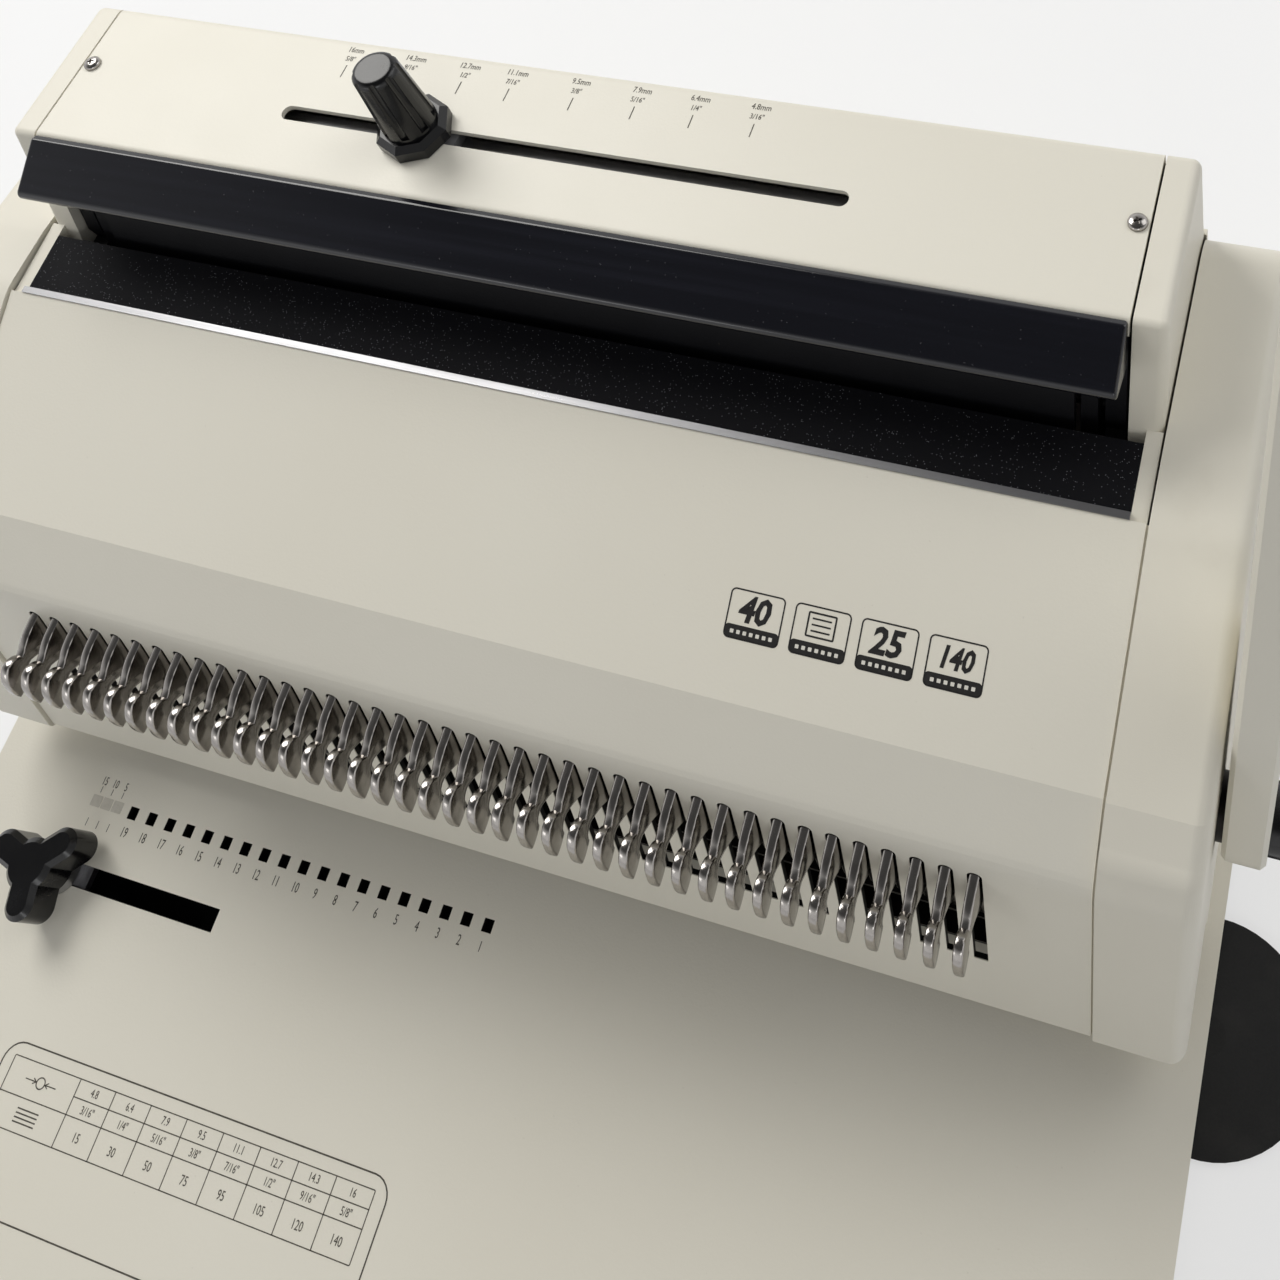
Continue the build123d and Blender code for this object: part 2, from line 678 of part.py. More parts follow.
def tie_rods():
    return [rod_x(spot, TIE_R, -PLATE_IN, PLATE_IN) for spot in cover_boss_spots()]


def shaft_bushes():
    bush = rod_x((SHAFT_Y, SHAFT_Z), BUSH_R, PLATE_IN, PLATE_OUT)
    bush = bush + rod_x((SHAFT_Y, SHAFT_Z), BUSH_FLANGE_R, PLATE_OUT, PLATE_OUT + BUSH_FLANGE)
    bore = rod_x((SHAFT_Y, SHAFT_Z), SHAFT_R + RUN_GAP, PLATE_IN - CUT_OVERRUN, PLATE_OUT + CUT_OVERRUN)
    return both_sides(bush - bore)


# Punch set: die, stripper, throat stop, posts and the moving holder
def die_plate():
    top = block((-DIE_HALF, DIE_FRONT_Y, -DIE_THICK), (DIE_HALF, DIE_REAR_Y, 0))
    wide = DIE_HALF + DIE_FLANGE
    plate = top + block((-wide, DIE_FRONT_Y, -DIE_THICK), (wide, DIE_REAR_Y, -TABLE_THICK))
    return plate - punch_holes(-DIE_THICK, 0)


def punch_holes(low, high):
    wide = PIN_WIDE / 2 + PIN_GAP
    deep = PIN_DEEP / 2 + PIN_GAP
    holes = []
    for x in pitch_places():
        start = (x - wide, PUNCH_Y - deep, low - CUT_OVERRUN)
        holes.append(block(start, (x + wide, PUNCH_Y + deep, high + CUT_OVERRUN)))
    return Compound([s for hole in holes for s in hole.solids()])


def stripper_plate():
    low = (-DIE_HALF, DIE_FRONT_Y, THROAT_TALL)
    plate = block(low, (DIE_HALF, STRIPPER_REAR_Y, STRIPPER_TOP))
    plate = plate - punch_holes(THROAT_TALL, STRIPPER_TOP)
    for x in (-POST_X, POST_X):
        plate = plate - rod_z((x, POST_Y), POST_R + FIT, 0, STRIPPER_TOP + CUT_OVERRUN)
    return plate


def paper_stop():
    return block((-DIE_HALF, THROAT_STOP_Y, 0), (DIE_HALF, DIE_REAR_Y, THROAT_TALL))


def guide_posts():
    posts = []
    for x in (-POST_X, POST_X):
        post = rod_z((x, POST_Y), POST_R, THROAT_TALL, THROAT_TALL + POST_TALL)
        posts.append(chamfer(post.edges().sort_by(Axis.Z)[-1], POST_CHAMFER))
    return posts


def punch_holder():
    front_low = (-HOLDER_HALF, HOLDER_FRONT_Y, HOLDER_LOW)
    bar = block(front_low, (HOLDER_HALF, HOLDER_STEP_Y, HOLDER_TOP))
    rear_low = (-HOLDER_REAR_HALF, HOLDER_STEP_Y, HOLDER_LOW)
    bar = bar + block(rear_low, (HOLDER_REAR_HALF, HOLDER_REAR_Y, HOLDER_TOP))
    deep = PIN_DEEP / 2 + FIT
    bar = bar - block(
        (-HOLDER_HALF - CUT_OVERRUN, PUNCH_Y - deep, HOLDER_LOW - CUT_OVERRUN),
        (HOLDER_HALF + CUT_OVERRUN, PUNCH_Y + deep, HOLDER_LOW + HOLDER_GROOVE),
    )
    for x in (-POST_X, POST_X):
        bar = bar - rod_z((x, POST_Y), POST_R + RUN_GAP, HOLDER_LOW - CUT_OVERRUN, HOLDER_TOP + CUT_OVERRUN)
    near = CAM_THICK / 2 + LUG_GAP
    far = near + LUG_THICK
    for centre in (-PUNCH_CAM_X, PUNCH_CAM_X):
        for low, high in ((centre - far, centre - near), (centre + near, centre + far)):
            lug = rod_x(PUNCH_ROLLER, LUG_R, low, high)
            foot = (low, PUNCH_ROLLER[0] - LUG_R, HOLDER_TOP)
            lug = lug + block(foot, (high, PUNCH_ROLLER[0] + LUG_R, PUNCH_ROLLER[1]))
            lug = lug - rod_x(PUNCH_ROLLER, ROLLER_PIN_R + FIT, low - CUT_OVERRUN, high + CUT_OVERRUN)
            bar = bar + lug
    return bar


def punch_pins():
    tip = THROAT_TALL + PIN_TIP_LIFT
    top = HOLDER_LOW + HOLDER_GROOVE
    pins = []
    for x in pitch_places():
        low = (x - PIN_WIDE / 2, PUNCH_Y - PIN_DEEP / 2, tip)
        pins.append(block(low, (x + PIN_WIDE / 2, PUNCH_Y + PIN_DEEP / 2, top)))
    return pins


def roller(centre, low, high):
    wheel = rod_x(centre, ROLLER_R, low, high)
    return wheel - rod_x(centre, ROLLER_PIN_R + RUN_GAP, low - CUT_OVERRUN, high + CUT_OVERRUN)


def punch_rollers():
    half = CAM_THICK / 2
    return both_sides(roller(PUNCH_ROLLER, PUNCH_CAM_X - half, PUNCH_CAM_X + half))


def punch_roller_pins():
    far = CAM_THICK / 2 + LUG_GAP + LUG_THICK
    return both_sides(rod_x(PUNCH_ROLLER, ROLLER_PIN_R, PUNCH_CAM_X - far, PUNCH_CAM_X + far))


# Cams of steady rise, so that each slide moves in proportion to the handle
def cam(aim, stroke, low, high):
    """A cam whose roller, seen from the shaft, lies at the angle aim."""
    rise = stroke / TURN
    points = []
    for step in range(CAM_STEPS + 1):
        turn = TURN * step / CAM_STEPS
        angle = aim - turn
        reach = ROLLER_SEAT + rise * turn
        length = math.hypot(reach, rise)
        back = (ROLLER_R + CAM_LIFT_GAP) / length
        y = reach * math.cos(angle) - back * (reach * math.cos(angle) - rise * math.sin(angle))
        z = reach * math.sin(angle) - back * (reach * math.sin(angle) + rise * math.cos(angle))
        points.append((y, z))
    curve = Spline(*points)
    tip = aim - TURN
    heel = (CAM_ROOT_R * math.cos(tip - TURN), CAM_ROOT_R * math.sin(tip - TURN))
    lobe = Wire([
        curve.edge(),
        Line(points[-1], heel).edge(),
        Line(heel, (0, 0)).edge(),
        Line((0, 0), points[0]).edge(),
    ])
    face = make_face(Plane.YZ * lobe)
    body = across(face, low, high) + rod_x((0, 0), CAM_ROOT_R, low, high)
    body = body - rod_x((0, 0), SHAFT_R + FIT, low - CUT_OVERRUN, high + CUT_OVERRUN)
    return Pos(0, SHAFT_Y, SHAFT_Z) * body


def punch_cams():
    half = CAM_THICK / 2
    aim = math.radians(270)
    return both_sides(cam(aim, PUNCH_STROKE, PUNCH_CAM_X - half, PUNCH_CAM_X + half))


def press_cams():
    half = PRESS_CAM_THICK / 2
    aim = math.atan2(PRESS_DOWN[1], PRESS_DOWN[0])
    return both_sides(cam(aim, PRESS_STROKE, PRESS_CAM_X - half, PRESS_CAM_X + half))


def main_shaft():
    left = -PLATE_OUT - BUSH_FLANGE
    return rod_x((SHAFT_Y, SHAFT_Z), SHAFT_R, left, ARM_IN + ARM_THICK)


# Handle: flat arm, rubber grip and hub cap
def arm_frame(shape):
    """From an upright arm at the origin to its place on the shaft."""
    return Pos(0, SHAFT_Y, SHAFT_Z) * Rot(-ARM_LEAN, 0, 0) * shape


def arm_blank():
    lean = math.asin((ARM_FOOT_R - ARM_TOP_R) / ARM_LONG)
    points = []
    for side, radius, height in ((1, ARM_FOOT_R, 0), (1, ARM_TOP_R, ARM_LONG)):
        points.append((side * radius * math.cos(lean), height + radius * math.sin(lean)))
    points = points + [(-y, z) for y, z in points[::-1]]
    face = outline(points)
    arm = across(face, ARM_IN, ARM_IN + ARM_THICK)
    arm = arm + rod_x((0, 0), ARM_FOOT_R, ARM_IN, ARM_IN + ARM_THICK)
    return arm + rod_x((0, ARM_LONG), ARM_TOP_R, ARM_IN, ARM_IN + ARM_THICK)


def handle_arm():
    arm = arm_blank()
    ends = arm.faces().filter_by(Axis.X)
    arm = chamfer([edge for face in ends for edge in face.edges()], ARM_EDGE)
    arm = arm - rod_x((0, 0), SHAFT_R + FIT, ARM_IN - CUT_OVERRUN, ARM_IN + ARM_THICK + CUT_OVERRUN)
    return arm_frame(arm)


def handle_grip():
    middle = ARM_IN + ARM_THICK / 2
    top = ARM_LONG + ARM_TOP_R + GRIP_END
    low = (middle - GRIP_THICK / 2, -GRIP_WIDE / 2, top - GRIP_LONG)
    grip = block(low, (middle + GRIP_THICK / 2, GRIP_WIDE / 2, top))
    grip = fillet(grip.edges().filter_by(Axis.Z), GRIP_ROUND)
    grip = fillet(grip.faces().sort_by(Axis.Z)[-1].edges(), GRIP_ROUND)
    for index in range(GRIP_GROOVES):
        z = (low[2] + top) / 2 + (index - (GRIP_GROOVES - 1) / 2) * GRIP_GROOVE_STEP
        grip = grip - rod_x((low[1], z), GRIP_GROOVE_R, low[0] - CUT_OVERRUN, low[0] + GRIP_THICK + CUT_OVERRUN)
    return arm_frame(grip - arm_blank())


def hub_cap():
    start = ARM_IN + ARM_THICK
    cap = rod_x((SHAFT_Y, SHAFT_Z), HUB_CAP_R, start, start + HUB_CAP_TALL)
    return fillet(cap.edges().sort_by(Axis.X)[-1], HUB_CAP_ROUND)


# Press bar on two links that run on studs of the frame plates
def press_bar():
    points = [
        press_point(0, BAR_GAP),
        press_point(0, BAR_TOP_OUT),
        press_point(BAR_DOWN, BAR_OUT),
        press_point(BAR_HEEL, BAR_GAP),
    ]
    rounds = [0, BAR_ROUND, BAR_NOSE_ROUND, BAR_ROUND]
    bar = across(outline(points, rounds), -BAR_HALF, BAR_HALF)
    ends = [face for face in bar.faces().filter_by(Axis.X)]
    edges = [edge for face in ends for edge in face.edges()]
    limit = press_point(BAR_DOWN / 2, BAR_GAP + BAR_GROOVE_DEEP)
    front = [edge for edge in edges if edge.center().Y < limit[0]]
    bar = fillet(front, BAR_END_ROUND)
    middle = (LINK_TOP + LINK_PAD_LOW) / 2
    groove = outline([
        press_point(middle - BAR_GROOVE_TALL / 2, BAR_GAP - CUT_OVERRUN),
        press_point(middle - BAR_GROOVE_TALL / 2, BAR_GAP + BAR_GROOVE_DEEP),
        press_point(middle + BAR_GROOVE_TALL / 2, BAR_GAP + BAR_GROOVE_DEEP),
        press_point(middle + BAR_GROOVE_TALL / 2, BAR_GAP - CUT_OVERRUN),
    ])
    inset = PLATE_IN
    return bar - across(groove, -inset, inset)


def press_links():
    knee = on_run(press_point(0, -LINK_FRONT), press_point(GUIDE_RUN, -LINK_FRONT), PRESS_ROLLER[1] + LINK_LIMB)
    heel = on_run(press_point(0, -LINK_BACK), press_point(GUIDE_RUN, -LINK_BACK), PRESS_ROLLER[1] - LINK_LIMB)
    toe = PRESS_ROLLER[0] - LINK_LIMB
    points = [
        press_point(LINK_TOP, BAR_GAP),
        press_point(LINK_PAD_LOW, BAR_GAP),
        press_point(LINK_PAD_LOW, -LINK_FRONT),
        knee,
        (toe, PRESS_ROLLER[1] + LINK_LIMB),
        (toe, PRESS_ROLLER[1] - LINK_LIMB),
        heel,
        press_point(LINK_TOP, -LINK_BACK),
    ]
    end = LINK_LIMB - FIT
    rounds = [0, 0, 0, LINK_LIMB, end, end, LINK_BACK, LINK_FRONT]
    far = LINK_IN + LINK_THICK
    link = across(outline(points, rounds), LINK_IN, far)
    gap = LINK_STUD_R + RUN_GAP
    middle = -(LINK_FRONT + LINK_BACK) / 2
    for spot in (LINK_STUD_HIGH, LINK_STUD_LOW):
        ends = [press_point(spot, middle), press_point(spot - PRESS_STROKE, middle)]
        sides = [
            press_point(spot, middle + gap),
            press_point(spot, middle - gap),
            press_point(spot - PRESS_STROKE, middle - gap),
            press_point(spot - PRESS_STROKE, middle + gap),
        ]
        link = link - across(outline(sides), LINK_IN - CUT_OVERRUN, far + CUT_OVERRUN)
        for end in ends:
            link = link - rod_x(end, gap, LINK_IN - CUT_OVERRUN, far + CUT_OVERRUN)
    link = link - rod_x(PRESS_ROLLER, ROLLER_PIN_R + FIT, LINK_IN - CUT_OVERRUN, far + CUT_OVERRUN)
    return both_sides(link)


def link_studs():
    middle = -(LINK_FRONT + LINK_BACK) / 2
    studs = []
    for spot in (LINK_STUD_HIGH, LINK_STUD_LOW):
        stud = rod_x(press_point(spot, middle), LINK_STUD_R, LINK_IN, PLATE_IN)
        studs = studs + both_sides(stud)
    return studs


def press_rollers():
    half = PRESS_CAM_THICK / 2
    return both_sides(roller(PRESS_ROLLER, PRESS_CAM_X - half, PRESS_CAM_X + half))


def press_roller_pins():
    low = PRESS_CAM_X - PRESS_CAM_THICK / 2
    return both_sides(rod_x(PRESS_ROLLER, ROLLER_PIN_R, low, LINK_IN + LINK_THICK))


# Tray where the bound edge lies while the wire is closed
def anvil_rail():
    points = [
        (TRAY_Y, ANVIL_LOW_Z),
        (TRAY_Y, ANVIL_LIP_Z),
        (TRAY_Y + ANVIL_LIP, ANVIL_LIP_Z),
        (TRAY_Y + ANVIL_LIP, ANVIL_SEAT_Z),
        (ANVIL_REAR_Y, ANVIL_SEAT_Z),
        (ANVIL_REAR_Y, ANVIL_LOW_Z),
    ]
    return across(outline(points), -ANVIL_HALF, ANVIL_HALF)


def magnetic_strip():
    low = (-ANVIL_HALF, TRAY_Y + ANVIL_LIP, ANVIL_SEAT_Z)
    return block(low, (ANVIL_HALF, ANVIL_REAR_Y, ANVIL_SEAT_Z + STRIP_THICK))


def guide_face():
    foot = on_run(press_point(0, 0), press_point(GUIDE_RUN, 0), ANVIL_LOW_Z)
    path = [press_point(HEM + SEAT_GAP, 0), foot, (FACE_FLANGE_Y, ANVIL_LOW_Z)]
    return bent_sheet(path, [0], FACE_THICK, -FACE_HALF, FACE_HALF)


# Head: sloping panel with the size slot, caps, rear cover
def head_place(back, up):
    """Y and Z of a point of the head panel, back from its front edge."""
    tilt = math.radians(HEAD_TILT)
    y = HEAD_FRONT_Y + back * math.cos(tilt) + up * math.sin(tilt)
    z = HEAD_FRONT_Z - back * math.sin(tilt) + up * math.cos(tilt)
    return (y, z)


def head_frame(x, back):
    """Plane square to the head panel, with its Z out of the panel."""
    y, z = head_place(back, 0)
    tilt = math.radians(HEAD_TILT)
    return Plane(origin=(x, y, z), x_dir=(1, 0, 0), z_dir=(0, math.sin(tilt), math.cos(tilt)))


def tilted_rod(x, centre, radius, low, high):
    """A round bar square to the head panel."""
    tilt = math.radians(HEAD_TILT)
    plane = Plane(origin=(x, centre[0], centre[1]), x_dir=(1, 0, 0), z_dir=(0, math.sin(tilt), math.cos(tilt)))
    bar = Cylinder(radius, high - low, align=(Align.CENTER, Align.CENTER, Align.MIN))
    return plane * Pos(0, 0, low) * bar


def head_panel():
    path = [
        press_point(HEM, 0),
        (HEAD_FRONT_Y, HEAD_FRONT_Z),
        (HEAD_REAR_Y, HEAD_REAR_Z),
        (HEAD_REAR_Y, HEAD_REAR_Z - HEM),
    ]
    back = beside(path, -SHEET)
    inner = SHEET_BEND - SHEET
    rounds = [0, SHEET_BEND, SHEET_BEND, 0, 0, inner, inner, 0]
    panel = across(outline(path + back[::-1], rounds), SEAM - CAP_IN, CAP_IN - SEAM)
    plane = head_frame(0, SIZE_SLOT_BACK)
    length = SIZE_SLOT_RIGHT - SIZE_SLOT_LEFT
    middle = (SIZE_SLOT_RIGHT + SIZE_SLOT_LEFT) / 2
    cutter = Pos(middle, 0, 0) * SlotOverall(length, SIZE_SLOT_WIDE)
    panel = panel - extrude(plane * cutter, amount=CUT_OVERRUN, both=True)
    for x in (-(PLATE_IN + PLATE_OUT) / 2, (PLATE_IN + PLATE_OUT) / 2):
        panel = panel - tilted_rod(x, head_place(SCREW_BACK, 0), SCREW_SHANK_R + FIT, -CUT_OVERRUN, CUT_OVERRUN)
    return panel


def head_screws():
    screws = []
    for x in (-(PLATE_IN + PLATE_OUT) / 2, (PLATE_IN + PLATE_OUT) / 2):
        seat = head_place(SCREW_BACK, 0)
        head = tilted_rod(x, seat, SCREW_R, 0, SCREW_DOME)
        head = fillet(head.edges().sort_by(Axis.Z)[-1], SCREW_DOME * 2 / 3)
        plane = head_frame(x, SCREW_BACK)
        for turn in (0, 90):
            groove = Box(SCREW_R, SCREW_SLOT, SCREW_DOME)
            head = head - plane * Pos(0, 0, SCREW_DOME) * Rot(0, 0, turn) * groove
        screws.append(head + tilted_rod(x, seat, SCREW_SHANK_R, -SCREW_LONG, 0))
    return screws


def right_head_cap():
    low = on_run(press_point(0, 0), press_point(GUIDE_RUN, 0), CAP_LOW_Z)
    points = [
        low,
        press_point(0, 0),
        (HEAD_REAR_Y, HEAD_REAR_Z),
        (HEAD_REAR_Y, CAP_LOW_Z),
    ]
    skin = outline(points, [0, SHEET_BEND, SHEET_BEND, 0])
    cap = across(skin, CAP_IN, CAP_OUT)
    rim = cap.faces().sort_by(Axis.X)[-1].edges()
    rim = [edge for edge in rim if edge.center().Z > CAP_LOW_Z + CAP_ROUND]
    cap = fillet(rim, CAP_ROUND)
    core = offset(skin, amount=-CAP_WALL)
    cap = cap - across(core, CAP_IN + CAP_WALL, CAP_OUT - CAP_WALL)
    mouth = block(
        (CAP_IN + CAP_WALL, low[0] + CAP_WALL * 2, CAP_LOW_Z - CUT_OVERRUN),
        (CAP_OUT - CAP_WALL, HEAD_REAR_Y - CAP_WALL, CAP_LOW_Z + CAP_WALL * 2),
    )
    cap = cap - mouth
    top = ANVIL_SEAT_Z + STRIP_THICK
    rear = on_run(press_point(0, 0), press_point(GUIDE_RUN, 0), top)
    foot = block((ANVIL_HALF, TRAY_Y, top - CAP_FOOT_TALL), (CAP_OUT, rear[0], top))
    cap = cap + foot
    boss = (TIE_REAR_Y, (CAP_LOW_Z + HEAD_REAR_Z) / 2)
    return cap + rod_x(boss, CAP_BOSS_R, PLATE_OUT, CAP_IN + CAP_WALL)


def rear_cover():
    face = HEAD_REAR_Y - SHEET
    low = block((-BODY_HALF, face, 0), (BODY_HALF, HEAD_REAR_Y, CAP_LOW_Z - SEAT_GAP))
    high = block(
        (SEAT_GAP - CAP_IN, face, 0),
        (CAP_IN - SEAT_GAP, HEAD_REAR_Y, HEAD_REAR_Z - HEM - SEAT_GAP),
    )
    return low + high


# Size setting: carriage on a rail, stud through the slot, fluted knob
def carriage_rail():
    plane = head_frame(0, SIZE_SLOT_BACK)
    top = -SHEET - SLIDE_GAP - CARRIAGE_THICK + RAIL_GROOVE - SLIDE_GAP
    rail = Pos(0, 0, top - RAIL_TALL / 2) * Box(PLATE_IN * 2, RAIL_DEEP, RAIL_TALL)
    return plane * rail


def stop_carriage():
    plane = head_frame(SIZE_KNOB_X, SIZE_SLOT_BACK)
    top = -SHEET - SLIDE_GAP
    plate = Pos(0, 0, top - CARRIAGE_THICK / 2) * Box(CARRIAGE_LONG, CARRIAGE_DEEP, CARRIAGE_THICK)
    wide = RAIL_DEEP + SLIDE_GAP * 2
    groove = Box(CARRIAGE_LONG + CUT_OVERRUN, wide, RAIL_GROOVE * 2)
    plate = plate - Pos(0, 0, top - CARRIAGE_THICK) * groove
    return plane * plate


def size_stud():
    plane = head_frame(SIZE_KNOB_X, SIZE_SLOT_BACK)
    low = -SHEET - SLIDE_GAP
    stud = Cylinder(SIZE_STUD_R, SIZE_STUD_TALL, align=(Align.CENTER, Align.CENTER, Align.MIN))
    return plane * Pos(0, 0, low) * stud


def size_knob():
    plane = head_frame(SIZE_KNOB_X, SIZE_SLOT_BACK)
    flange = extrude(RegularPolygon(SIZE_FLANGE_R, SIZE_FLANGE_SIDES), amount=SIZE_FLANGE_TALL)
    flange = chamfer(flange.faces().sort_by(Axis.Z)[-1].edges(), SIZE_FLANGE_TALL / 3)
    low = Circle(SIZE_KNOB_R)
    high = Pos(0, 0, SIZE_KNOB_TALL) * Circle(SIZE_KNOB_TOP_R)
    body = Pos(0, 0, SIZE_FLANGE_TALL) * loft([low, high])
    body = fillet(body.faces().sort_by(Axis.Z)[-1].edges(), SIZE_KNOB_DOME)
    knob = flange + body
    lean = math.degrees(math.atan2(SIZE_KNOB_R - SIZE_KNOB_TOP_R, SIZE_KNOB_TALL))
    flute = Cylinder(SIZE_FLUTE_R, SIZE_KNOB_TALL * 2, align=(Align.CENTER, Align.CENTER, Align.MIN))
    for index in range(SIZE_FLUTES):
        turn = Rot(0, 0, 360 / SIZE_FLUTES * (index + 1 / 2))
        place = Pos(SIZE_KNOB_R + SIZE_FLUTE_R / 3, 0, SIZE_FLANGE_TALL + SIZE_FLUTE_R)
        knob = knob - turn * place * Rot(0, -lean, 0) * flute
    bore_top = SIZE_STUD_TALL - SHEET - SLIDE_GAP + SEAT_GAP - SIZE_KNOB_LIFT
    bore = Cylinder(SIZE_STUD_R + RUN_GAP, bore_top + CUT_OVERRUN, align=(Align.CENTER, Align.CENTER, Align.MIN))
    knob = knob - Pos(0, 0, -CUT_OVERRUN) * bore
    return plane * Pos(0, 0, SIZE_KNOB_LIFT) * knob


# Edge guide: collar on the table, stud, clamp below, three-lobed knob
def guide_spot(height):
    return Pos(GUIDE_KNOB_X, GUIDE_SLOT_Y, height)


def guide_collar():
    collar = rod_z((0, 0), GUIDE_COLLAR_R, SLIDE_GAP, SLIDE_GAP + GUIDE_COLLAR_TALL)
    hole = rod_z((0, 0), GUIDE_STUD_R + FIT, -CUT_OVERRUN, GUIDE_COLLAR_TALL + CUT_OVERRUN)
    return guide_spot(0) * (collar - hole)


def guide_stud():
    low = -TABLE_THICK - SLIDE_GAP - GUIDE_CLAMP_THICK
    stud = rod_z((0, 0), GUIDE_STUD_R, low, low + GUIDE_STUD_TALL)
    return guide_spot(0) * stud


def guide_clamp():
    top = -TABLE_THICK - SLIDE_GAP
    low = (-GUIDE_CLAMP_LONG / 2, -GUIDE_CLAMP_WIDE / 2, top - GUIDE_CLAMP_THICK)
    clamp = block(low, (GUIDE_CLAMP_LONG / 2, GUIDE_CLAMP_WIDE / 2, top))
    tongue_low = (-GUIDE_CLAMP_LONG / 3, -GUIDE_BLOCK_WIDE / 2, top)
    tongue = block(tongue_low, (GUIDE_CLAMP_LONG / 3, GUIDE_BLOCK_WIDE / 2, 0))
    hole = rod_z((0, 0), GUIDE_STUD_R + FIT, low[2] - CUT_OVERRUN, CUT_OVERRUN)
    return guide_spot(0) * (clamp + tongue - hole)


def guide_knob():
    low = SLIDE_GAP + GUIDE_COLLAR_TALL + SEAT_GAP
    plan = Circle(LOBE_HUB_R)
    for index in range(LOBES):
        arm = Pos(LOBE_REACH, 0, 0) * Circle(LOBE_R)
        web = Rectangle(LOBE_REACH, LOBE_R * 2, align=(Align.MIN, Align.CENTER))
        plan = plan + Rot(0, 0, LOBE_TURN + 360 / LOBES * index) * (arm + web)
    knob = extrude(plan, amount=LOBE_TALL)
    knob = chamfer(knob.faces().sort_by(Axis.Z)[-1].edges(), LOBE_EDGE)
    stud_top = GUIDE_STUD_TALL - TABLE_THICK - SLIDE_GAP - GUIDE_CLAMP_THICK - low
    knob = knob - rod_z((0, 0), GUIDE_STUD_R + RUN_GAP, -CUT_OVERRUN, stud_top + SEAT_GAP)
    return guide_spot(low) * knob


def build():
    os.makedirs("parts", exist_ok=True)
    cover = right_side_cover()
    plate = frame_plate()
    cap = right_head_cap()
    hole = rod_x((SHAFT_Y, SHAFT_Z), SHAFT_R + HUB_BORE_GAP, COVER_OUT - CUT_OVERRUN, COVER_OUT + CUT_OVERRUN)
    nodes = {
        "base_pan": base_pan(),
        "table_plate": table_plate(),
        "suction_feet": suction_feet(),
        "front_pads": front_pads(),
        "waste_drawer": waste_drawer(),
        "drawer_runners": drawer_runners(),
        "front_panel": front_panel(),
        "wire_fingers": wire_fingers(),
        "finger_rod": finger_rod(),
        "right_side_cover": cover - hole,
        "left_side_cover": mirror(cover, about=Plane.YZ),
        "right_frame_plate": plate,
        "left_frame_plate": mirror(plate, about=Plane.YZ),
        "tie_rods": tie_rods(),
        "shaft_bushes": shaft_bushes(),
        "die_plate": die_plate(),
        "stripper_plate": stripper_plate(),
        "paper_stop": paper_stop(),
        "guide_posts": guide_posts(),
        "punch_holder": punch_holder(),
        "punch_pins": punch_pins(),
        "punch_rollers": punch_rollers(),
        "punch_roller_pins": punch_roller_pins(),
        "main_shaft": main_shaft(),
        "punch_cams": punch_cams(),
        "press_cams": press_cams(),
        "handle_arm": handle_arm(),
        "handle_grip": handle_grip(),
        "hub_cap": hub_cap(),
        "press_bar": press_bar(),
        "press_links": press_links(),
        "link_studs": link_studs(),
        "press_rollers": press_rollers(),
        "press_roller_pins": press_roller_pins(),
        "anvil_rail": anvil_rail(),
        "magnetic_strip": magnetic_strip(),
        "guide_face": guide_face(),
        "head_panel": head_panel(),
        "head_screws": head_screws(),
        "right_head_cap": cap,
        "left_head_cap": mirror(cap, about=Plane.YZ),
        "rear_cover": rear_cover(),
        "carriage_rail": carriage_rail(),
        "stop_carriage": stop_carriage(),
        "size_stud": size_stud(),
        "size_knob": size_knob(),
        "guide_collar": guide_collar(),
        "guide_stud": guide_stud(),
        "guide_clamp": guide_clamp(),
        "guide_knob": guide_knob(),
    }
    for node, shape in nodes.items():
        save(shape, node)


build()
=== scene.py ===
import json
import math

import bmesh
import bpy
from mathutils import Matrix, Vector


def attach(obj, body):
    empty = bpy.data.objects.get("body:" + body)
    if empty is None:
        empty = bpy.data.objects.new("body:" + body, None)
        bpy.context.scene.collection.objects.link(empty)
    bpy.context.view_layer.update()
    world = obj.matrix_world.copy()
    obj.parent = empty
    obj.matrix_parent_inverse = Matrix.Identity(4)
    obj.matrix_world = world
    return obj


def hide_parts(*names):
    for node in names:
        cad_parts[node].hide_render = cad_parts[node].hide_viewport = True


bl_info = {
    "name": "Wire Binding Machine",
    "version": (1, 0, 0),
    "blender": (4, 5, 0),
    "location": "3D View > Sidebar > Machine",
    "description": "Finishes, fingers, screws and printed scales of a table-top punch and wire closer",
    "category": "Object",
}

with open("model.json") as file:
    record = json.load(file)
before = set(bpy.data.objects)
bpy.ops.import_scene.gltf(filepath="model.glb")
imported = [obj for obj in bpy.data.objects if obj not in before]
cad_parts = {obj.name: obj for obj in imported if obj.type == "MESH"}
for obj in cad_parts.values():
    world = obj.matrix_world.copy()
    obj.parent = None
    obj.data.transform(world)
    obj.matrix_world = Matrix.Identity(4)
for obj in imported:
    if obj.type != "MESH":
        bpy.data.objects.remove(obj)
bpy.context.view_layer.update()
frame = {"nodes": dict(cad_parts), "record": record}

# The maker's frame is in millimetres: X from the middle of the finger row, Y
# from the row of windows to the back, Z up from the table top.
MM = 0.001
TO_SCENE = Matrix.Scale(MM, 4) @ Matrix.Translation((0.0, -55.0, 48.0))
PITCH = 8.4667
INK_LIFT = 0.03
INK_THICK = 0.05


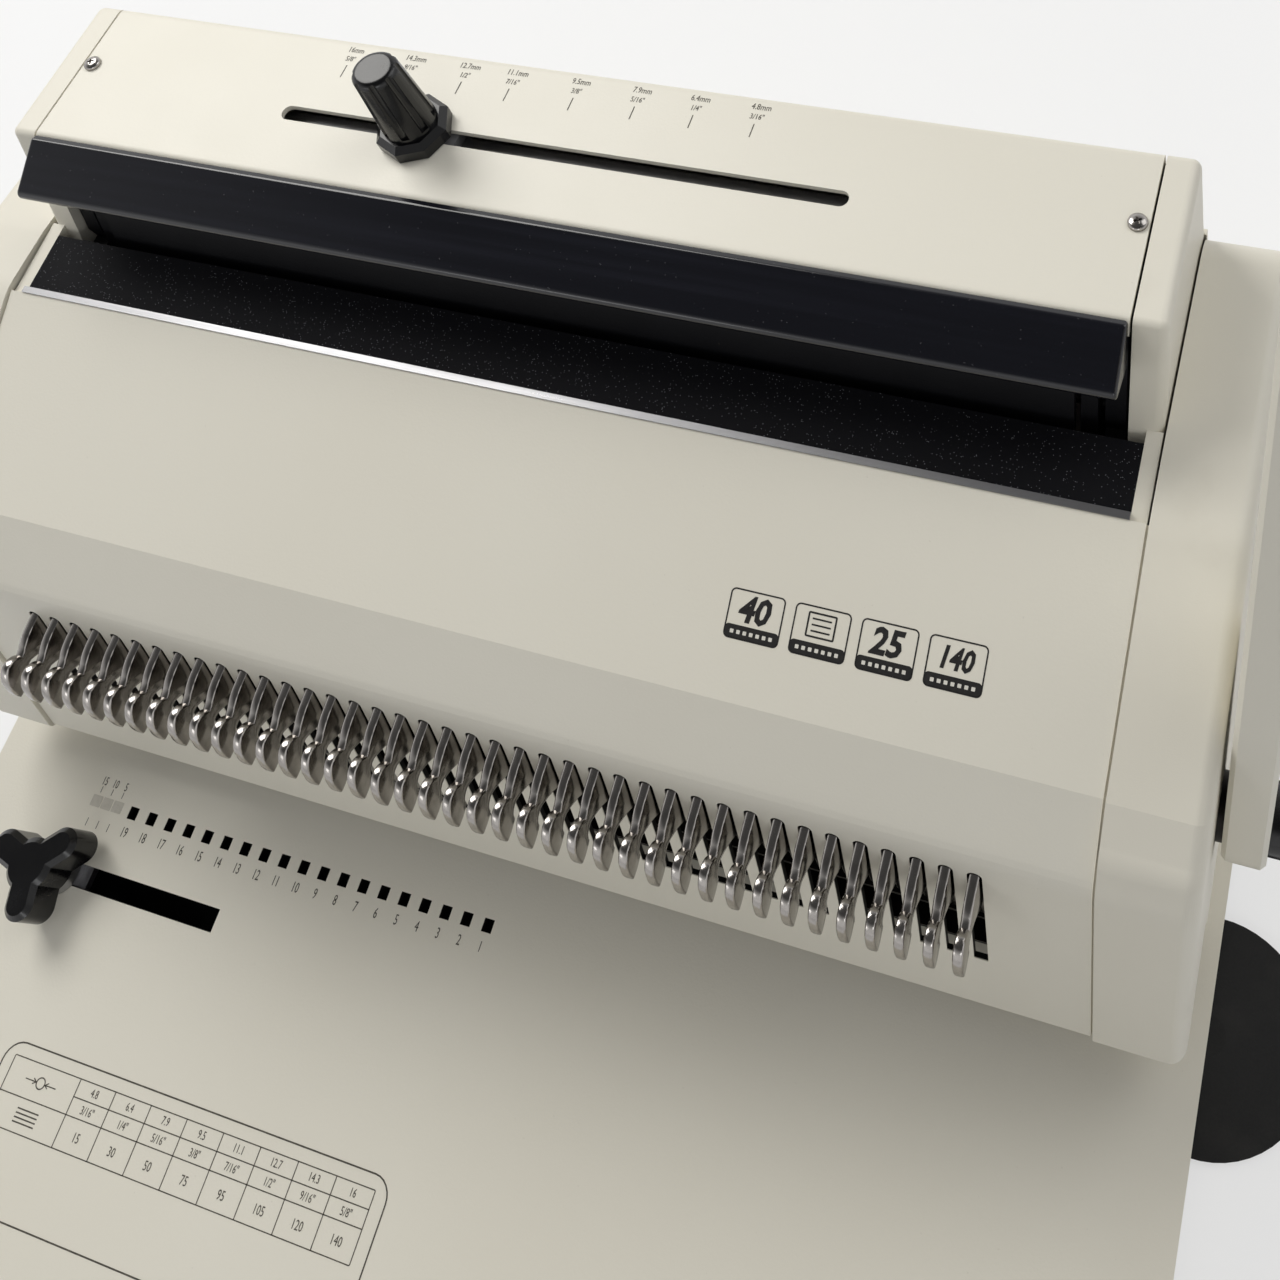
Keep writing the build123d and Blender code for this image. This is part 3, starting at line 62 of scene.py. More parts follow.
def face(y, z, up_y, up_z):
    """Frame of a flat face: X to the right, Y up the face, Z out of it."""
    run = math.hypot(up_y, up_z)
    up = Vector((0.0, up_y / run, up_z / run))
    out = Vector((1.0, 0.0, 0.0)).cross(up)
    spot = Matrix.Translation((0.0, y, z))
    return spot @ Matrix((Vector((1.0, 0.0, 0.0)), up, out)).transposed().to_4x4()


TABLE = face(0.0, 0.0, 1.0, 0.0)
HEAD = face(190.0, 181.0, 56.0, -5.0)

# Where the body bends from its slope down to the slotted face, and the way up each of them
BEND = (59.7, 119.6)
UP_SLOPE = (86.3, 25.4)
UP_SLOTTED = (39.7, 100.6)
SLOPE = face(*BEND, *UP_SLOPE)
SLOTTED = face(20.0, 19.0, *UP_SLOTTED)


def tone(red, green, blue):
    """A colour written as 0 to 255, as linear light."""
    shares = []
    for value in (red, green, blue):
        share = value / 255
        shares.append(share / 12.92 if share <= 0.04045 else ((share + 0.055) / 1.055) ** 2.4)
    return (*shares, 1.0)


# Nodes

def put(tree, socket, value):
    """A value or a link into one socket."""
    if isinstance(value, bpy.types.NodeSocket):
        tree.links.new(value, socket)
    else:
        socket.default_value = value


def lay(tree, kind, settings=None, inputs=None):
    """Any node: its settings first, then its values and links."""
    node = tree.nodes.new(kind)
    for name, value in (settings or {}).items():
        setattr(node, name, value)
    for name, value in (inputs or {}).items():
        put(tree, node.inputs[name], value)
    return node


def lay_sum(tree, operation, first, second):
    """The result of one sum."""
    return lay(tree, "ShaderNodeMath", {"operation": operation}, {0: first, 1: second}).outputs[0]


# Finishes, with sums of nodes written as sums

class Wire:
    """A socket of a finish that can stand in a sum."""

    def __init__(self, finish, socket):
        self.finish = finish
        self.socket = socket

    def math(self, operation, first, second=0.0):
        return self.finish.add("ShaderNodeMath", {"operation": operation}, {0: first, 1: second})

    def __add__(self, other):
        return self.math("ADD", self, other)

    def __radd__(self, other):
        return self.math("ADD", other, self)

    def __sub__(self, other):
        return self.math("SUBTRACT", self, other)

    def __rsub__(self, other):
        return self.math("SUBTRACT", other, self)

    def __mul__(self, other):
        return self.math("MULTIPLY", self, other)

    def __gt__(self, other):
        return self.math("GREATER_THAN", self, other)

    def __lt__(self, other):
        return self.math("LESS_THAN", self, other)

    def size(self):
        """The number without its sign."""
        return self.math("ABSOLUTE", self)

    def rise(self, low, high):
        """0 below low, 1 above high, smooth between."""
        inputs = {"Value": self, "From Min": low, "From Max": high}
        return self.finish.add("ShaderNodeMapRange", {"interpolation_type": "SMOOTHSTEP"}, inputs)


class Finish:
    """One material, its shader and the nodes that vary it."""

    def __init__(self, name, constants):
        self.material = bpy.data.materials.new(name + "_finish")
        self.material.use_nodes = True
        self.tree = self.material.node_tree
        self.tree.nodes.clear()
        self.shader = lay(self.tree, "ShaderNodeBsdfPrincipled")
        lay(self.tree, "ShaderNodeOutputMaterial", None, {"Surface": self.shader.outputs[0]})
        self.feed(constants)
        self.place = self.add("ShaderNodeTexCoord", out="Object")

    def sockets(self, inputs):
        """The same inputs, with its socket for each wire."""
        return {
            name: value.socket if isinstance(value, Wire) else value for name, value in inputs.items()}

    def add(self, kind, settings=None, inputs=None, out=0):
        """A wire from one output of a new node."""
        node = lay(self.tree, kind, settings, self.sockets(inputs or {}))
        return Wire(self, node.outputs[out])

    def feed(self, inputs):
        """Values and links into the shader."""
        for name, value in self.sockets(inputs).items():
            put(self.tree, self.shader.inputs[name], value)

    def done(self, colour, rough, normal=None):
        """The material, with its colour, its roughness and its relief, if any."""
        self.feed({"Base Color": colour, "Roughness": rough})
        if normal is not None:
            self.feed({"Normal": normal})
        return self.material

    def axes(self):
        """The object's own place as three numbers, in metres."""
        split = lay(self.tree, "ShaderNodeSeparateXYZ", None, {"Vector": self.place.socket})
        return [Wire(self, socket) for socket in split.outputs]

    def stretched(self, x, y, z):
        """The object's own place, stretched to draw streaks."""
        return self.add("ShaderNodeMapping", None, {"Vector": self.place, "Scale": (x, y, z)})

    def cloud(self, scale, detail=2.0, place=None):
        """Soft noise, 0 to 1."""
        inputs = {"Vector": place or self.place, "Scale": scale, "Detail": detail}
        return self.add("ShaderNodeTexNoise", None, inputs, "Fac")

    def cells(self, scale, out="Distance"):
        """Small cells, their distance or their random colour."""
        return self.add("ShaderNodeTexVoronoi", None, {"Vector": self.place, "Scale": scale}, out)

    def blend(self, share, first, second):
        """Two colours mixed by a share."""
        return self.add("ShaderNodeMix", {"data_type": "RGBA"}, {0: share, 6: first, 7: second}, 2)

    def relief(self, height, depth, strength):
        """Fine relief of a surface, with its depth in metres."""
        inputs = {"Height": height, "Distance": depth, "Strength": strength}
        return self.add("ShaderNodeBump", None, inputs, "Normal")


def enamel(name, colour, shade, painted_shade_mask=None, ior=1.48):
    """Stove enamel on sheet steel: orange peel, slight toning, a few specks, painted shade (near black)
    inside.
    """
    finish = Finish(name, {"IOR": ior})
    wide = finish.cloud(5.0, 3.0)
    fine = finish.cloud(1100.0, 2.0)
    specks = finish.cloud(700.0, 1.0).rise(0.80, 0.83)
    body = finish.blend(wide.rise(0.35, 0.75) * 0.35, colour, shade)
    body = finish.blend(specks * 0.12, body, tone(150, 140, 122))
    # Painted shade: near black on the inner faces that the mask marks, so that holes and slots read
    # dark
    if painted_shade_mask:
        body = finish.blend(painted_shade_mask(finish), body, tone(12, 12, 12))
    rough = 0.36 + finish.cloud(60.0, 3.0) * 0.10 + fine * 0.06
    return finish.done(body, rough, finish.relief(fine, 0.00012, 0.35))


def pan_inside(finish):
    """Painted shade mask: 1 on the inner faces of the base pan."""
    x, y, z = finish.axes()
    half_wide, half_deep, over_rim, round_corner = 0.2295, 0.194, 0.0095, 0.4200
    within = (x.size() < half_wide) * (y.size() < half_deep) * (z > over_rim)
    return within * (x.size() + y.size() < round_corner)


def plate_inside(finish):
    """Painted shade mask: 1 below the table plate and on the walls of its holes."""
    x, y, z = finish.axes()
    half_wide, half_deep, under_top = 0.2275, 0.19, 0.0477
    return (x.size() < half_wide) * (y.size() < half_deep) * (z < under_top)


def panel_inside(finish):
    """Painted shade mask: 1 behind the slotted face, on the walls of its slots and on the tray below
    them.
    """
    x, y, z = finish.axes()
    corner = TO_SCENE @ Vector((0.0, *BEND))
    normal = SLOTTED.col[2]
    out = (y - corner.y) * normal.y + (z - corner.z) * normal.z
    wall_low, wall_high, wall_skin = 0.072, 0.1487, -0.0003
    tray_low, tray_high, tray_skin = 0.0677, 0.0719, -0.0035
    wall = (out < wall_skin) * (z > wall_low) * (z < wall_high)
    tray = (out < tray_skin) * (z > tray_low) * (z < tray_high)
    past_slots = 0.170
    return (wall + tray) * (x.size() < past_slots)


def moulding(name, colour, shade):
    """Moulded plastic with a spark-eroded grain and faint flow tones."""
    finish = Finish(name, {"IOR": 1.50})
    flow = finish.cloud(3.0, 2.0, finish.stretched(1.0, 1.0, 2.5))
    grain = finish.cloud(2600.0, 3.0)
    grime = finish.cloud(35.0, 5.0).rise(0.58, 0.80)
    body = finish.blend(flow.rise(0.30, 0.75) * 0.4, colour, shade)
    body = finish.blend(grime * 0.10, body, tone(168, 156, 130))
    rough = 0.42 + grain * 0.12 + grime * 0.08
    return finish.done(body, rough, finish.relief(grain, 0.00006, 0.45))


def plating(name, colour, deep):
    """Nickel and chrome plate, bright with faint polishing lines and haze."""
    finish = Finish(name, {"Metallic": 1.0})
    lines = finish.cloud(1.0, 3.0, finish.stretched(500.0, 160.0, 3200.0))
    haze = finish.cloud(260.0, 3.0)
    body = finish.blend(haze.rise(0.45, 0.70) * 0.4, colour, deep)
    rough = 0.09 + haze * 0.10 + lines * 0.08
    return finish.done(body, rough, finish.relief(lines, 0.00002, 0.25))


def drawn_metal(name, colour, deep, rough, fineness):
    """Bare metal with lines from drawing or grinding, of one fineness along X and one across it."""
    finish = Finish(name, {"Metallic": 1.0})
    along, across = fineness
    lines = finish.cloud(1.0, 4.0, finish.stretched(along, across, across))
    haze = finish.cloud(30.0, 4.0)
    body = finish.blend(lines * 0.5 + haze * 0.2, colour, deep)
    surface = rough + lines * 0.14 + haze * 0.08
    return finish.done(body, surface, finish.relief(lines, 0.00003, 0.35))


def black_lacquer(name, colour, sheen):
    """Deep black lacquer of the press bar, with wipe marks along it."""
    finish = Finish(name, {"IOR": 1.44, "Coat Weight": 0.30, "Coat Roughness": 0.04})
    wipes = finish.cloud(1.0, 4.0, finish.stretched(6.0, 240.0, 240.0))
    dust = finish.cloud(900.0, 1.0).rise(0.74, 0.80)
    body = finish.blend(wipes.rise(0.4, 0.8) * 0.5, colour, sheen)
    body = finish.blend(dust * 0.16, body, tone(120, 120, 124))
    rough = 0.17 + wipes * 0.08 + dust * 0.20
    return finish.done(body, rough, finish.relief(finish.cloud(140.0, 2.0), 0.00008, 0.12))


def flecked_strip(name, colour, fleck):
    """Black strip with bright mineral flecks pressed into it."""
    finish = Finish(name, {"IOR": 1.22})
    near = finish.cells(2100.0)
    pick = finish.cells(2100.0, "Color")
    chosen = finish.add("ShaderNodeSeparateColor", None, {"Color": pick}, "Red") > 0.87
    flecks = chosen * (1.0 - near.rise(0.14, 0.26))
    grit = finish.cloud(1900.0, 3.0)
    body = finish.blend(grit * 0.5, colour, tone(16, 17, 22))
    body = finish.blend(flecks * 0.70, body, fleck)
    rough = 0.62 - flecks * 0.30 + grit * 0.10
    return finish.done(body, rough, finish.relief(grit + flecks, 0.00012, 0.6))


def knob_plastic(name, colour, worn):
    """Glossy phenolic plastic of the knobs, slightly rubbed."""
    finish = Finish(name, {"IOR": 1.42, "Coat Weight": 0.12})
    rub = finish.cloud(70.0, 4.0)
    fine = finish.cloud(900.0, 2.0)
    body = finish.blend(rub.rise(0.50, 0.80) * 0.6, colour, worn)
    rough = 0.17 + rub * 0.12 + fine * 0.05
    return finish.done(body, rough, finish.relief(fine, 0.00005, 0.25))


def rubber(name, colour, bloom):
    """Moulded rubber with a matte grain and a pale bloom."""
    finish = Finish(name, {"IOR": 1.45})
    grain = finish.cloud(1300.0, 4.0)
    dull = finish.cloud(45.0, 4.0)
    body = finish.blend(dull.rise(0.45, 0.80) * 0.5, colour, bloom)
    rough = 0.66 + grain * 0.14 + dull * 0.08
    return finish.done(body, rough, finish.relief(grain, 0.00015, 0.5))


def ink(name, colour, thin):
    """Screen-printed ink that is a little thinner in places."""
    finish = Finish(name, {"IOR": 1.42})
    body = finish.blend(finish.cloud(700.0, 3.0).rise(0.40, 0.75) * 0.5, colour, thin)
    rough = 0.50 + finish.cloud(900.0, 2.0) * 0.12
    return finish.done(body, rough)


# Nodes with a finish of their own instead of their slot's: enamel with painted shade on its inner
# faces, and inner pieces seen through the slots painted near black as shade
SHADE_BLACK_PIECES = (
    "punch_holder", "stripper_plate", "die_plate", "paper_stop", "finger_rod", "tie_rods", "main_shaft")
OWN_FINISH = {
    "base_pan": "pan_enamel", "table_plate": "table_enamel", "front_panel": "panel_enamel",
    **dict.fromkeys(SHADE_BLACK_PIECES, "black_oxide"),
}


def make_finishes(colours):
    """Every finish of the machine, by its name."""
    ivory, ivory_shade = tuple(colours.ivory), tuple(colours.ivory_shade)
    recipes = {
        "ivory_paint": (enamel, ivory, ivory_shade),
        # These three carry painted shade on their inner faces
        "pan_enamel": (enamel, ivory, ivory_shade, pan_inside),
        "table_enamel": (enamel, ivory, ivory_shade, plate_inside),
        "panel_enamel": (enamel, ivory, ivory_shade, panel_inside),
        "ivory_plastic": (moulding, ivory, ivory_shade),
        "chrome": (plating, (0.37, 0.35, 0.332, 1.0), (0.22, 0.205, 0.19, 1.0)),
        "steel": (drawn_metal, (0.52, 0.52, 0.53, 1.0), (0.34, 0.34, 0.35, 1.0), 0.26, (9.0, 700.0)),
        # Painted shade: near-black metal for the inner pieces seen through the slots
        "black_oxide": (
            drawn_metal, (0.035, 0.032, 0.03, 1.0), (0.02, 0.018, 0.017, 1.0), 0.34, (60.0, 400.0)),
        "dark_steel": (enamel, tone(14, 14, 17), tone(24, 24, 27), None, 1.3),
        "black_bar": (black_lacquer, tuple(colours.bar), tone(27, 28, 38)),
        "black_strip": (flecked_strip, tone(15, 15, 19), tone(196, 198, 206)),
        "aluminium": (
            drawn_metal, (0.34, 0.34, 0.35, 1.0), (0.14, 0.14, 0.15, 1.0), 0.20, (14.0, 700.0)),
        "black_plastic": (knob_plastic, tone(9, 9, 11), tone(22, 22, 25)),
        "black_rubber": (rubber, tone(24, 24, 24), tone(46, 45, 43)),
        "grey_plastic": (moulding, tone(120, 120, 122), tone(104, 104, 106)),
        "brass": (drawn_metal, (0.72, 0.52, 0.24, 1.0), (0.50, 0.34, 0.15, 1.0), 0.24, (900.0, 60.0)),
        "grey_ink": (ink, tuple(colours.ink), tone(118, 112, 100)),
        "black_ink": (ink, tone(28, 27, 27), tone(46, 44, 43)),
        "pale_ink": (ink, tone(205, 201, 190), tone(188, 183, 171)),
        "white_ink": (ink, tone(226, 223, 214), tone(208, 204, 193)),
    }
    return {name: maker(name, *values) for name, (maker, *values) in recipes.items()}


def finish_named(name):
    """A finish that the finishes operator has made."""
    material = bpy.data.materials.get(name + "_finish")
    if material is None:
        raise RuntimeError("the finishes come first: " + name + " is missing")
    return material


# Meshes

def soften(shape, degrees):
    """Smooth faces, with the edges that turn more than an angle kept sharp."""
    limit = math.radians(degrees)
    for side in shape.faces:
        side.smooth = True
    for edge in shape.edges:
        if len(edge.link_faces) == 2:
            edge.smooth = edge.calc_face_angle() < limit


def bridge(shape, low, high):
    """Faces between two rings, either of which may be a single point."""
    count = max(len(low), len(high))
    for i in range(count):
        j = (i + 1) % count
        corners = (low[i % len(low)], low[j % len(low)], high[j % len(high)], high[i % len(high)])
        shape.faces.new(list(dict.fromkeys(corners)))


def mesh_of(shape, name):
    """A mesh from a shape, which ends there."""
    mesh = bpy.data.meshes.new(name)
    shape.to_mesh(mesh)
    shape.free()
    return mesh


def in_scene(shape, name, degrees):
    """A shape in the maker's frame as a mesh in the scene's."""
    bmesh.ops.transform(shape, matrix=TO_SCENE, verts=shape.verts)
    bmesh.ops.recalc_face_normals(shape, faces=shape.faces)
    soften(shape, degrees)
    return mesh_of(shape, name)


def show(name, data):
    """A new object in the scene."""
    thing = bpy.data.objects.new(name, data)
    bpy.context.scene.collection.objects.link(thing)
    return thing


def settled(holder):
    """The mesh that an object's text or modifiers come to; the object goes."""
    ready = holder.evaluated_get(bpy.context.evaluated_depsgraph_get())
    mesh = bpy.data.meshes.new_from_object(ready)
    bpy.data.objects.remove(holder)
    return mesh


def place_piece(mesh, name, finish, body):
    """One object at the origin that rides with its body."""
    mesh.materials.clear()
    mesh.materials.append(finish_named(finish))
    piece = show(name, mesh)
    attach(piece, body)
    return piece


def set_down(shape, name, finish, body, degrees):
    """One finished piece from a shape in the maker's frame."""
    return place_piece(in_scene(shape, name, degrees), name, finish, body)


def round_box(x0, y0, x1, y1, radius, steps=6):
    """The corners of a box with round corners, going round to the left."""
    left, right, low, high = x0 + radius, x1 - radius, y0 + radius, y1 - radius
    points = []
    for quarter, (x, y) in enumerate(((right, high), (left, high), (left, low), (right, low))):
        for step in range(steps + 1):
            angle = math.radians(90 * (quarter + step / steps))
            points.append((x + radius * math.cos(angle), y + radius * math.sin(angle)))
    return points


# Height of a figure as a share of its letter size
FIGURE_SHARE = 0.70


class Printing:
    """Thin ink on flat faces, gathered into one mesh."""

    def __init__(self, name, finish):
        self.name = name
        self.finish = finish
        self.shape = bmesh.new()
        self.cache = {}

    def patch(self, plane, points, lift=0.0):
        """A filled outline."""
        self.band(plane, points, None, lift)

    def band(self, plane, outer, inner, lift=0.0):
        """The strip between two outlines, or one filled outline."""
        rows = []
        for ring in [outer] if inner is None else [outer, inner]:
            low, high = [
                [self.shape.verts.new(plane @ Vector((x, y, z + lift))) for x, y in ring]
                for z in (INK_LIFT, INK_LIFT + INK_THICK)]
            bridge(self.shape, low, high)
            rows.append((low, high))
        for level in range(2):
            if inner is None:
                self.shape.faces.new(rows[0][level])
            else:
                bridge(self.shape, rows[0][level], rows[1][level])

    def line(self, plane, start, end, width):
        """A straight line of a given width."""
        run = math.dist(start, end)
        side = ((start[1] - end[1]) / run * width / 2, (end[0] - start[0]) / run * width / 2)
        corners = [(start[0] - side[0], start[1] - side[1]), (end[0] - side[0], end[1] - side[1])]
        corners += [(end[0] + side[0], end[1] + side[1]), (start[0] + side[0], start[1] + side[1])]
        self.patch(plane, corners)

    def frame(self, plane, x0, y0, x1, y1, radius, width):
        """A box drawn as a line with round corners."""
        outer = round_box(x0, y0, x1, y1, radius)
        inner = round_box(x0 + width, y0 + width, x1 - width, y1 - width, max(radius - width, 0.05))
        self.band(plane, outer, inner)

    def ring(self, plane, x, y, radius, width):
        """A circle drawn as a line."""
        turns = [math.tau * i / 24 for i in range(24)]
        outer, inner = [
            [(x + r * math.cos(a), y + r * math.sin(a)) for a in turns]
            for r in (radius, radius - width)]
        self.band(plane, outer, inner)

    def figures(self, plane, text, x, y, height, squeeze, weight=0.0, lean=0.0):
        """Plain figures, centred on a spot, with their height over all."""
        mesh = self.cache.get((text, weight)) or self.outline(text, weight)
        self.cache[(text, weight)] = mesh
        grow = Matrix.Diagonal((height * squeeze, height, 1.0, 1.0))
        slant = Matrix.Identity(4)
        slant[0][1] = lean
        place = plane @ Matrix.Translation((x, y, INK_LIFT + INK_THICK / 2)) @ slant @ grow
        before = len(self.shape.verts)
        self.shape.from_mesh(mesh)
        self.shape.verts.ensure_lookup_table()
        bmesh.ops.transform(self.shape, matrix=place, verts=self.shape.verts[before:])

    def outline(self, text, weight):
        """Figures one unit high as a mesh, with their middle at the origin."""
        curve = bpy.data.curves.new("figures", "FONT")
        curve.body = text
        curve.align_x = "CENTER"
        curve.extrude = INK_THICK / 2
        curve.resolution_u = 2
        curve.offset = weight
        curve.size = 1.0 / FIGURE_SHARE
        mesh = settled(show("figures", curve))
        mesh.transform(Matrix.Translation((0.0, -0.5, 0.0)))
        return mesh

    def done(self):
        """The printed piece, riding with the base."""
        bmesh.ops.remove_doubles(self.shape, verts=self.shape.verts, dist=0.0001)
        return set_down(self.shape, self.name, self.finish, "base", 20.0)


# Rows made with Geometry Nodes

def row_tree():
    """Node tree that repeats a piece along X about its middle."""
    tree = bpy.data.node_groups.get("row_along_x")
    if tree:
        return tree
    tree = bpy.data.node_groups.new("row_along_x", "GeometryNodeTree")
    wanted = {"Piece": "Geometry", "Count": "Int", "Pitch": "Float", "Finish": "Material"}
    for name, kind in wanted.items():
        tree.interface.new_socket(name, in_out="INPUT", socket_type="NodeSocket" + kind)
    tree.interface.new_socket("Row", in_out="OUTPUT", socket_type="NodeSocketGeometry")
    given = lay(tree, "NodeGroupInput").outputs
    span = lay_sum(tree, "MULTIPLY", lay_sum(tree, "SUBTRACT", given["Count"], 1.0), given["Pitch"])
    first = lay(tree, "ShaderNodeCombineXYZ", None, {"X": lay_sum(tree, "MULTIPLY", span, -0.5)})
    step = lay(tree, "ShaderNodeCombineXYZ", None, {"X": given["Pitch"]})
    places = lay(tree, "GeometryNodeMeshLine", {"mode": "OFFSET"}, {
        "Count": given["Count"], "Start Location": first.outputs[0], "Offset": step.outputs[0],
    })
    copies = lay(tree, "GeometryNodeInstanceOnPoints", None, {
        "Points": places.outputs[0], "Instance": given["Piece"],
    })
    solid = lay(tree, "GeometryNodeRealizeInstances", None, {"Geometry": copies.outputs[0]})
    dressed = lay(tree, "GeometryNodeSetMaterial", None, {
        "Geometry": solid.outputs[0], "Material": given["Finish"],
    })
    lay(tree, "NodeGroupOutput", None, {"Row": dressed.outputs[0]})
    return tree


def row_of(shape, name, count, pitch, finish, body, degrees):
    """A row of one piece, as a plain mesh that rides with its body."""
    mesh = in_scene(shape, name + "_one", degrees)
    mesh.materials.append(finish_named(finish))
    holder = show(name + "_one", mesh)
    modifier = holder.modifiers.new("row", "NODES")
    modifier.node_group = row_tree()
    values = {"Count": count, "Pitch": pitch * MM, "Finish": finish_named(finish)}
    for item in modifier.node_group.interface.items_tree:
        if item.item_type == "SOCKET" and item.in_out == "INPUT" and item.name in values:
            modifier[item.identifier] = values[item.name]
    row = settled(holder)
    row.name = name
    return place_piece(row, name, finish, body)


# Sizes and colours that a user would change

def colour_setting(label, note, default):
    """A colour among the settings."""
    return bpy.props.FloatVectorProperty(
        name=label, description=note, subtype="COLOR", size=4, min=0, max=1, default=default)


def number_setting(label, note, default, unit="LENGTH"):
    """A length in metres, a power in watts or a plain number among the settings."""
    return bpy.props.FloatProperty(name=label, description=note, default=default, unit=unit, min=0)


class MachineColours(bpy.types.PropertyGroup):
    """Colours of the machine's finishes."""
    ivory: colour_setting("Ivory", "Enamel and moulded covers", tone(233, 229, 216))
    ivory_shade: colour_setting("Ivory shade", "Slightly aged tone of the ivory", tone(224, 218, 202))
    bar: colour_setting("Press bar", "Lacquer of the press bar", tone(12, 13, 21))
    ink: colour_setting("Scale ink", "Ink of the scales and figures", tone(74, 70, 63))


class FingerSizes(bpy.types.PropertyGroup):
    """Sizes of the row of wire fingers."""
    count: bpy.props.IntProperty(name="Count", description="Wire fingers in the row", default=40, min=2)
    pitch: number_setting("Pitch", "From one finger to the next", PITCH * MM)
    thick: number_setting("Thickness", "Plate that a finger is cut from", 0.0031)
    edge: number_setting("Edge", "Round of a finger's edges", 0.00085)


class PrintSizes(bpy.types.PropertyGroup):
    """Sizes of the printed figures."""
    window_figure: number_setting("Window figures", "Height of the figures under the windows", 0.0034)
    chart_figure: number_setting("Chart figures", "Height of the figures in the chart", 0.0025)
    scale_figure: number_setting("Size figures", "Height of the figures along the size slot", 0.0022)
    chart_line: number_setting("Chart line", "Width of the chart's lines", 0.00032)


class StageSettings(bpy.types.PropertyGroup):
    """Light and floor round the machine."""
    key_power: number_setting("Main light", "Large light from behind, on the left", 17.0, "POWER")
    fill_power: number_setting("Fill light", "Soft light from the front", 2.4, "POWER")
    room: number_setting("Room light", "Even light from all round", 0.31, "NONE")
    floor: colour_setting("Floor", "Colour of the floor", tone(240, 240, 240))


# Fold of the body: a crisp line on the slope, a short face and a soft bend above the slots

# Its ends, measured up the slope and down the slotted face from the bend's corner, and half the
# way that its soft bend takes
FOLD_UP, FOLD_DOWN, FOLD_SOFT = 17.5, 14.0, 5.0
# Radius of the round bend that the solids have
BEND_RADIUS = 26.0
BEND_STEPS = 24
# The body's sheets lie between these heights over the fold's chord
SKIN_LOW, SKIN_HIGH = -6.5, 14.0
# Corners nearer than this are one
TOUCH = 0.0005


class Fold:
    """Profile of the body's fold, seen from the side, with its chord as the base line."""

    def __init__(self):
        corner = Vector(BEND)
        down = [-Vector(UP_SLOPE).normalized(), -Vector(UP_SLOTTED).normalized()]
        self.start = corner - down[0] * FOLD_UP
        end = corner + down[1] * FOLD_DOWN
        self.along = (end - self.start).normalized()
        self.out = Vector((self.along.y, -self.along.x))
        self.long = (end - self.start).length
        half = down[0].angle(down[1]) / 2
        run = BEND_RADIUS * math.tan(half)
        middle = corner + (down[1] - down[0]).normalized() * (BEND_RADIUS / math.cos(half))
        first, last = corner - down[0] * run - middle, corner + down[1] * run - middle
        points = [self.start]
        for i in range(BEND_STEPS + 1):
            share = i / BEND_STEPS
            spoke = first * (1 - share) + last * share
            points.append(middle + spoke.normalized() * BEND_RADIUS)
        points += [end, end + down[1] * 4 * FOLD_SOFT]
        self.old = [self.measure(point) for point in points]
        self.fall = (self.old[-1][1] - self.old[-2][1]) / (self.old[-1][0] - self.old[-2][0])

    def measure(self, point):
        """A point's way along the chord and its height over it."""
        away = point - self.start
        return away.dot(self.along), away.dot(self.out)

    def drop(self, way):
        """How far the fold lies below the round bend."""
        soft = self.long - FOLD_SOFT
        if not 0.0 < way < self.long + FOLD_SOFT:
            return 0.0
        round_height = 0.0
        for (w0, h0), (w1, h1) in zip(self.old, self.old[1:]):
            if w0 <= way <= w1:
                round_height = h0 + (h1 - h0) * (way - w0) / max(w1 - w0, 1e-9)
                break
        fold_height = self.fall * (way - soft) ** 2 / (4 * FOLD_SOFT) if way > soft else 0.0
        return round_height - fold_height


def folded(node):
    """A solid's shape in the maker's frame, with its bend folded."""
    shape = bmesh.new()
    shape.from_mesh(frame["nodes"][node].data)
    bmesh.ops.transform(shape, matrix=TO_SCENE.inverted(), verts=shape.verts)
    bmesh.ops.remove_doubles(shape, verts=shape.verts, dist=TOUCH)
    fold = Fold()
    ways = [0.0] + [fold.long + FOLD_SOFT * step for step in (-1.0, -0.6, -0.2, 0.2, 0.6, 1.0)]
    for way in ways:
        spot = fold.start + fold.along * way
        whole = shape.verts[:] + shape.edges[:] + shape.faces[:]
        bmesh.ops.bisect_plane(
            shape, geom=whole, dist=TOUCH, plane_co=(0.0, *spot), plane_no=(0.0, *fold.along))
    for vert in shape.verts:
        way, height = fold.measure(vert.co.yz)
        if SKIN_LOW < height < SKIN_HIGH:
            vert.co.yz = vert.co.yz - fold.out * fold.drop(way)
    bmesh.ops.dissolve_degenerate(shape, edges=shape.edges, dist=TOUCH)
    soften(shape, 30.0)
    for edge in shape.edges:
        if all(abs(fold.measure(vert.co.yz)[0]) < 0.01 for vert in edge.verts):
            edge.smooth = False
    return shape


def evenly_shaded(shape, name):
    """The shape as a mesh in the scene's frame, with normals that follow its large faces."""
    bmesh.ops.transform(shape, matrix=TO_SCENE, verts=shape.verts)
    holder = show(name, mesh_of(shape, name))
    even = holder.modifiers.new("even", "WEIGHTED_NORMAL")
    even.keep_sharp = True
    even.weight = 100
    return settled(holder)


# Folded nodes, with the finish and the slot of each
FOLDED = (
    ("front_panel", "panel_enamel", "ivory_paint"),
    ("right_side_cover", "ivory_plastic", "ivory_plastic"),
    ("left_side_cover", "ivory_plastic", "ivory_plastic"),
    ("right_frame_plate", "dark_steel", "dark_steel"),
    ("left_frame_plate", "dark_steel", "dark_steel"),
)


class MACHINE_OT_folds(bpy.types.Operator):
    """Crisp fold of the front panel, the side covers and the frame plates behind them"""
    bl_idname = "machine.folds"
    bl_label = "Body fold"

    def execute(self, context):
        for node, finish, slot in FOLDED:
            name = "folded_" + node
            piece = place_piece(evenly_shaded(folded(node), name), name, finish, "base")
            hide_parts(node)
        return {"FINISHED"}


# Wire fingers: corners of their outline, as shares of the slot's length down and of the reach out

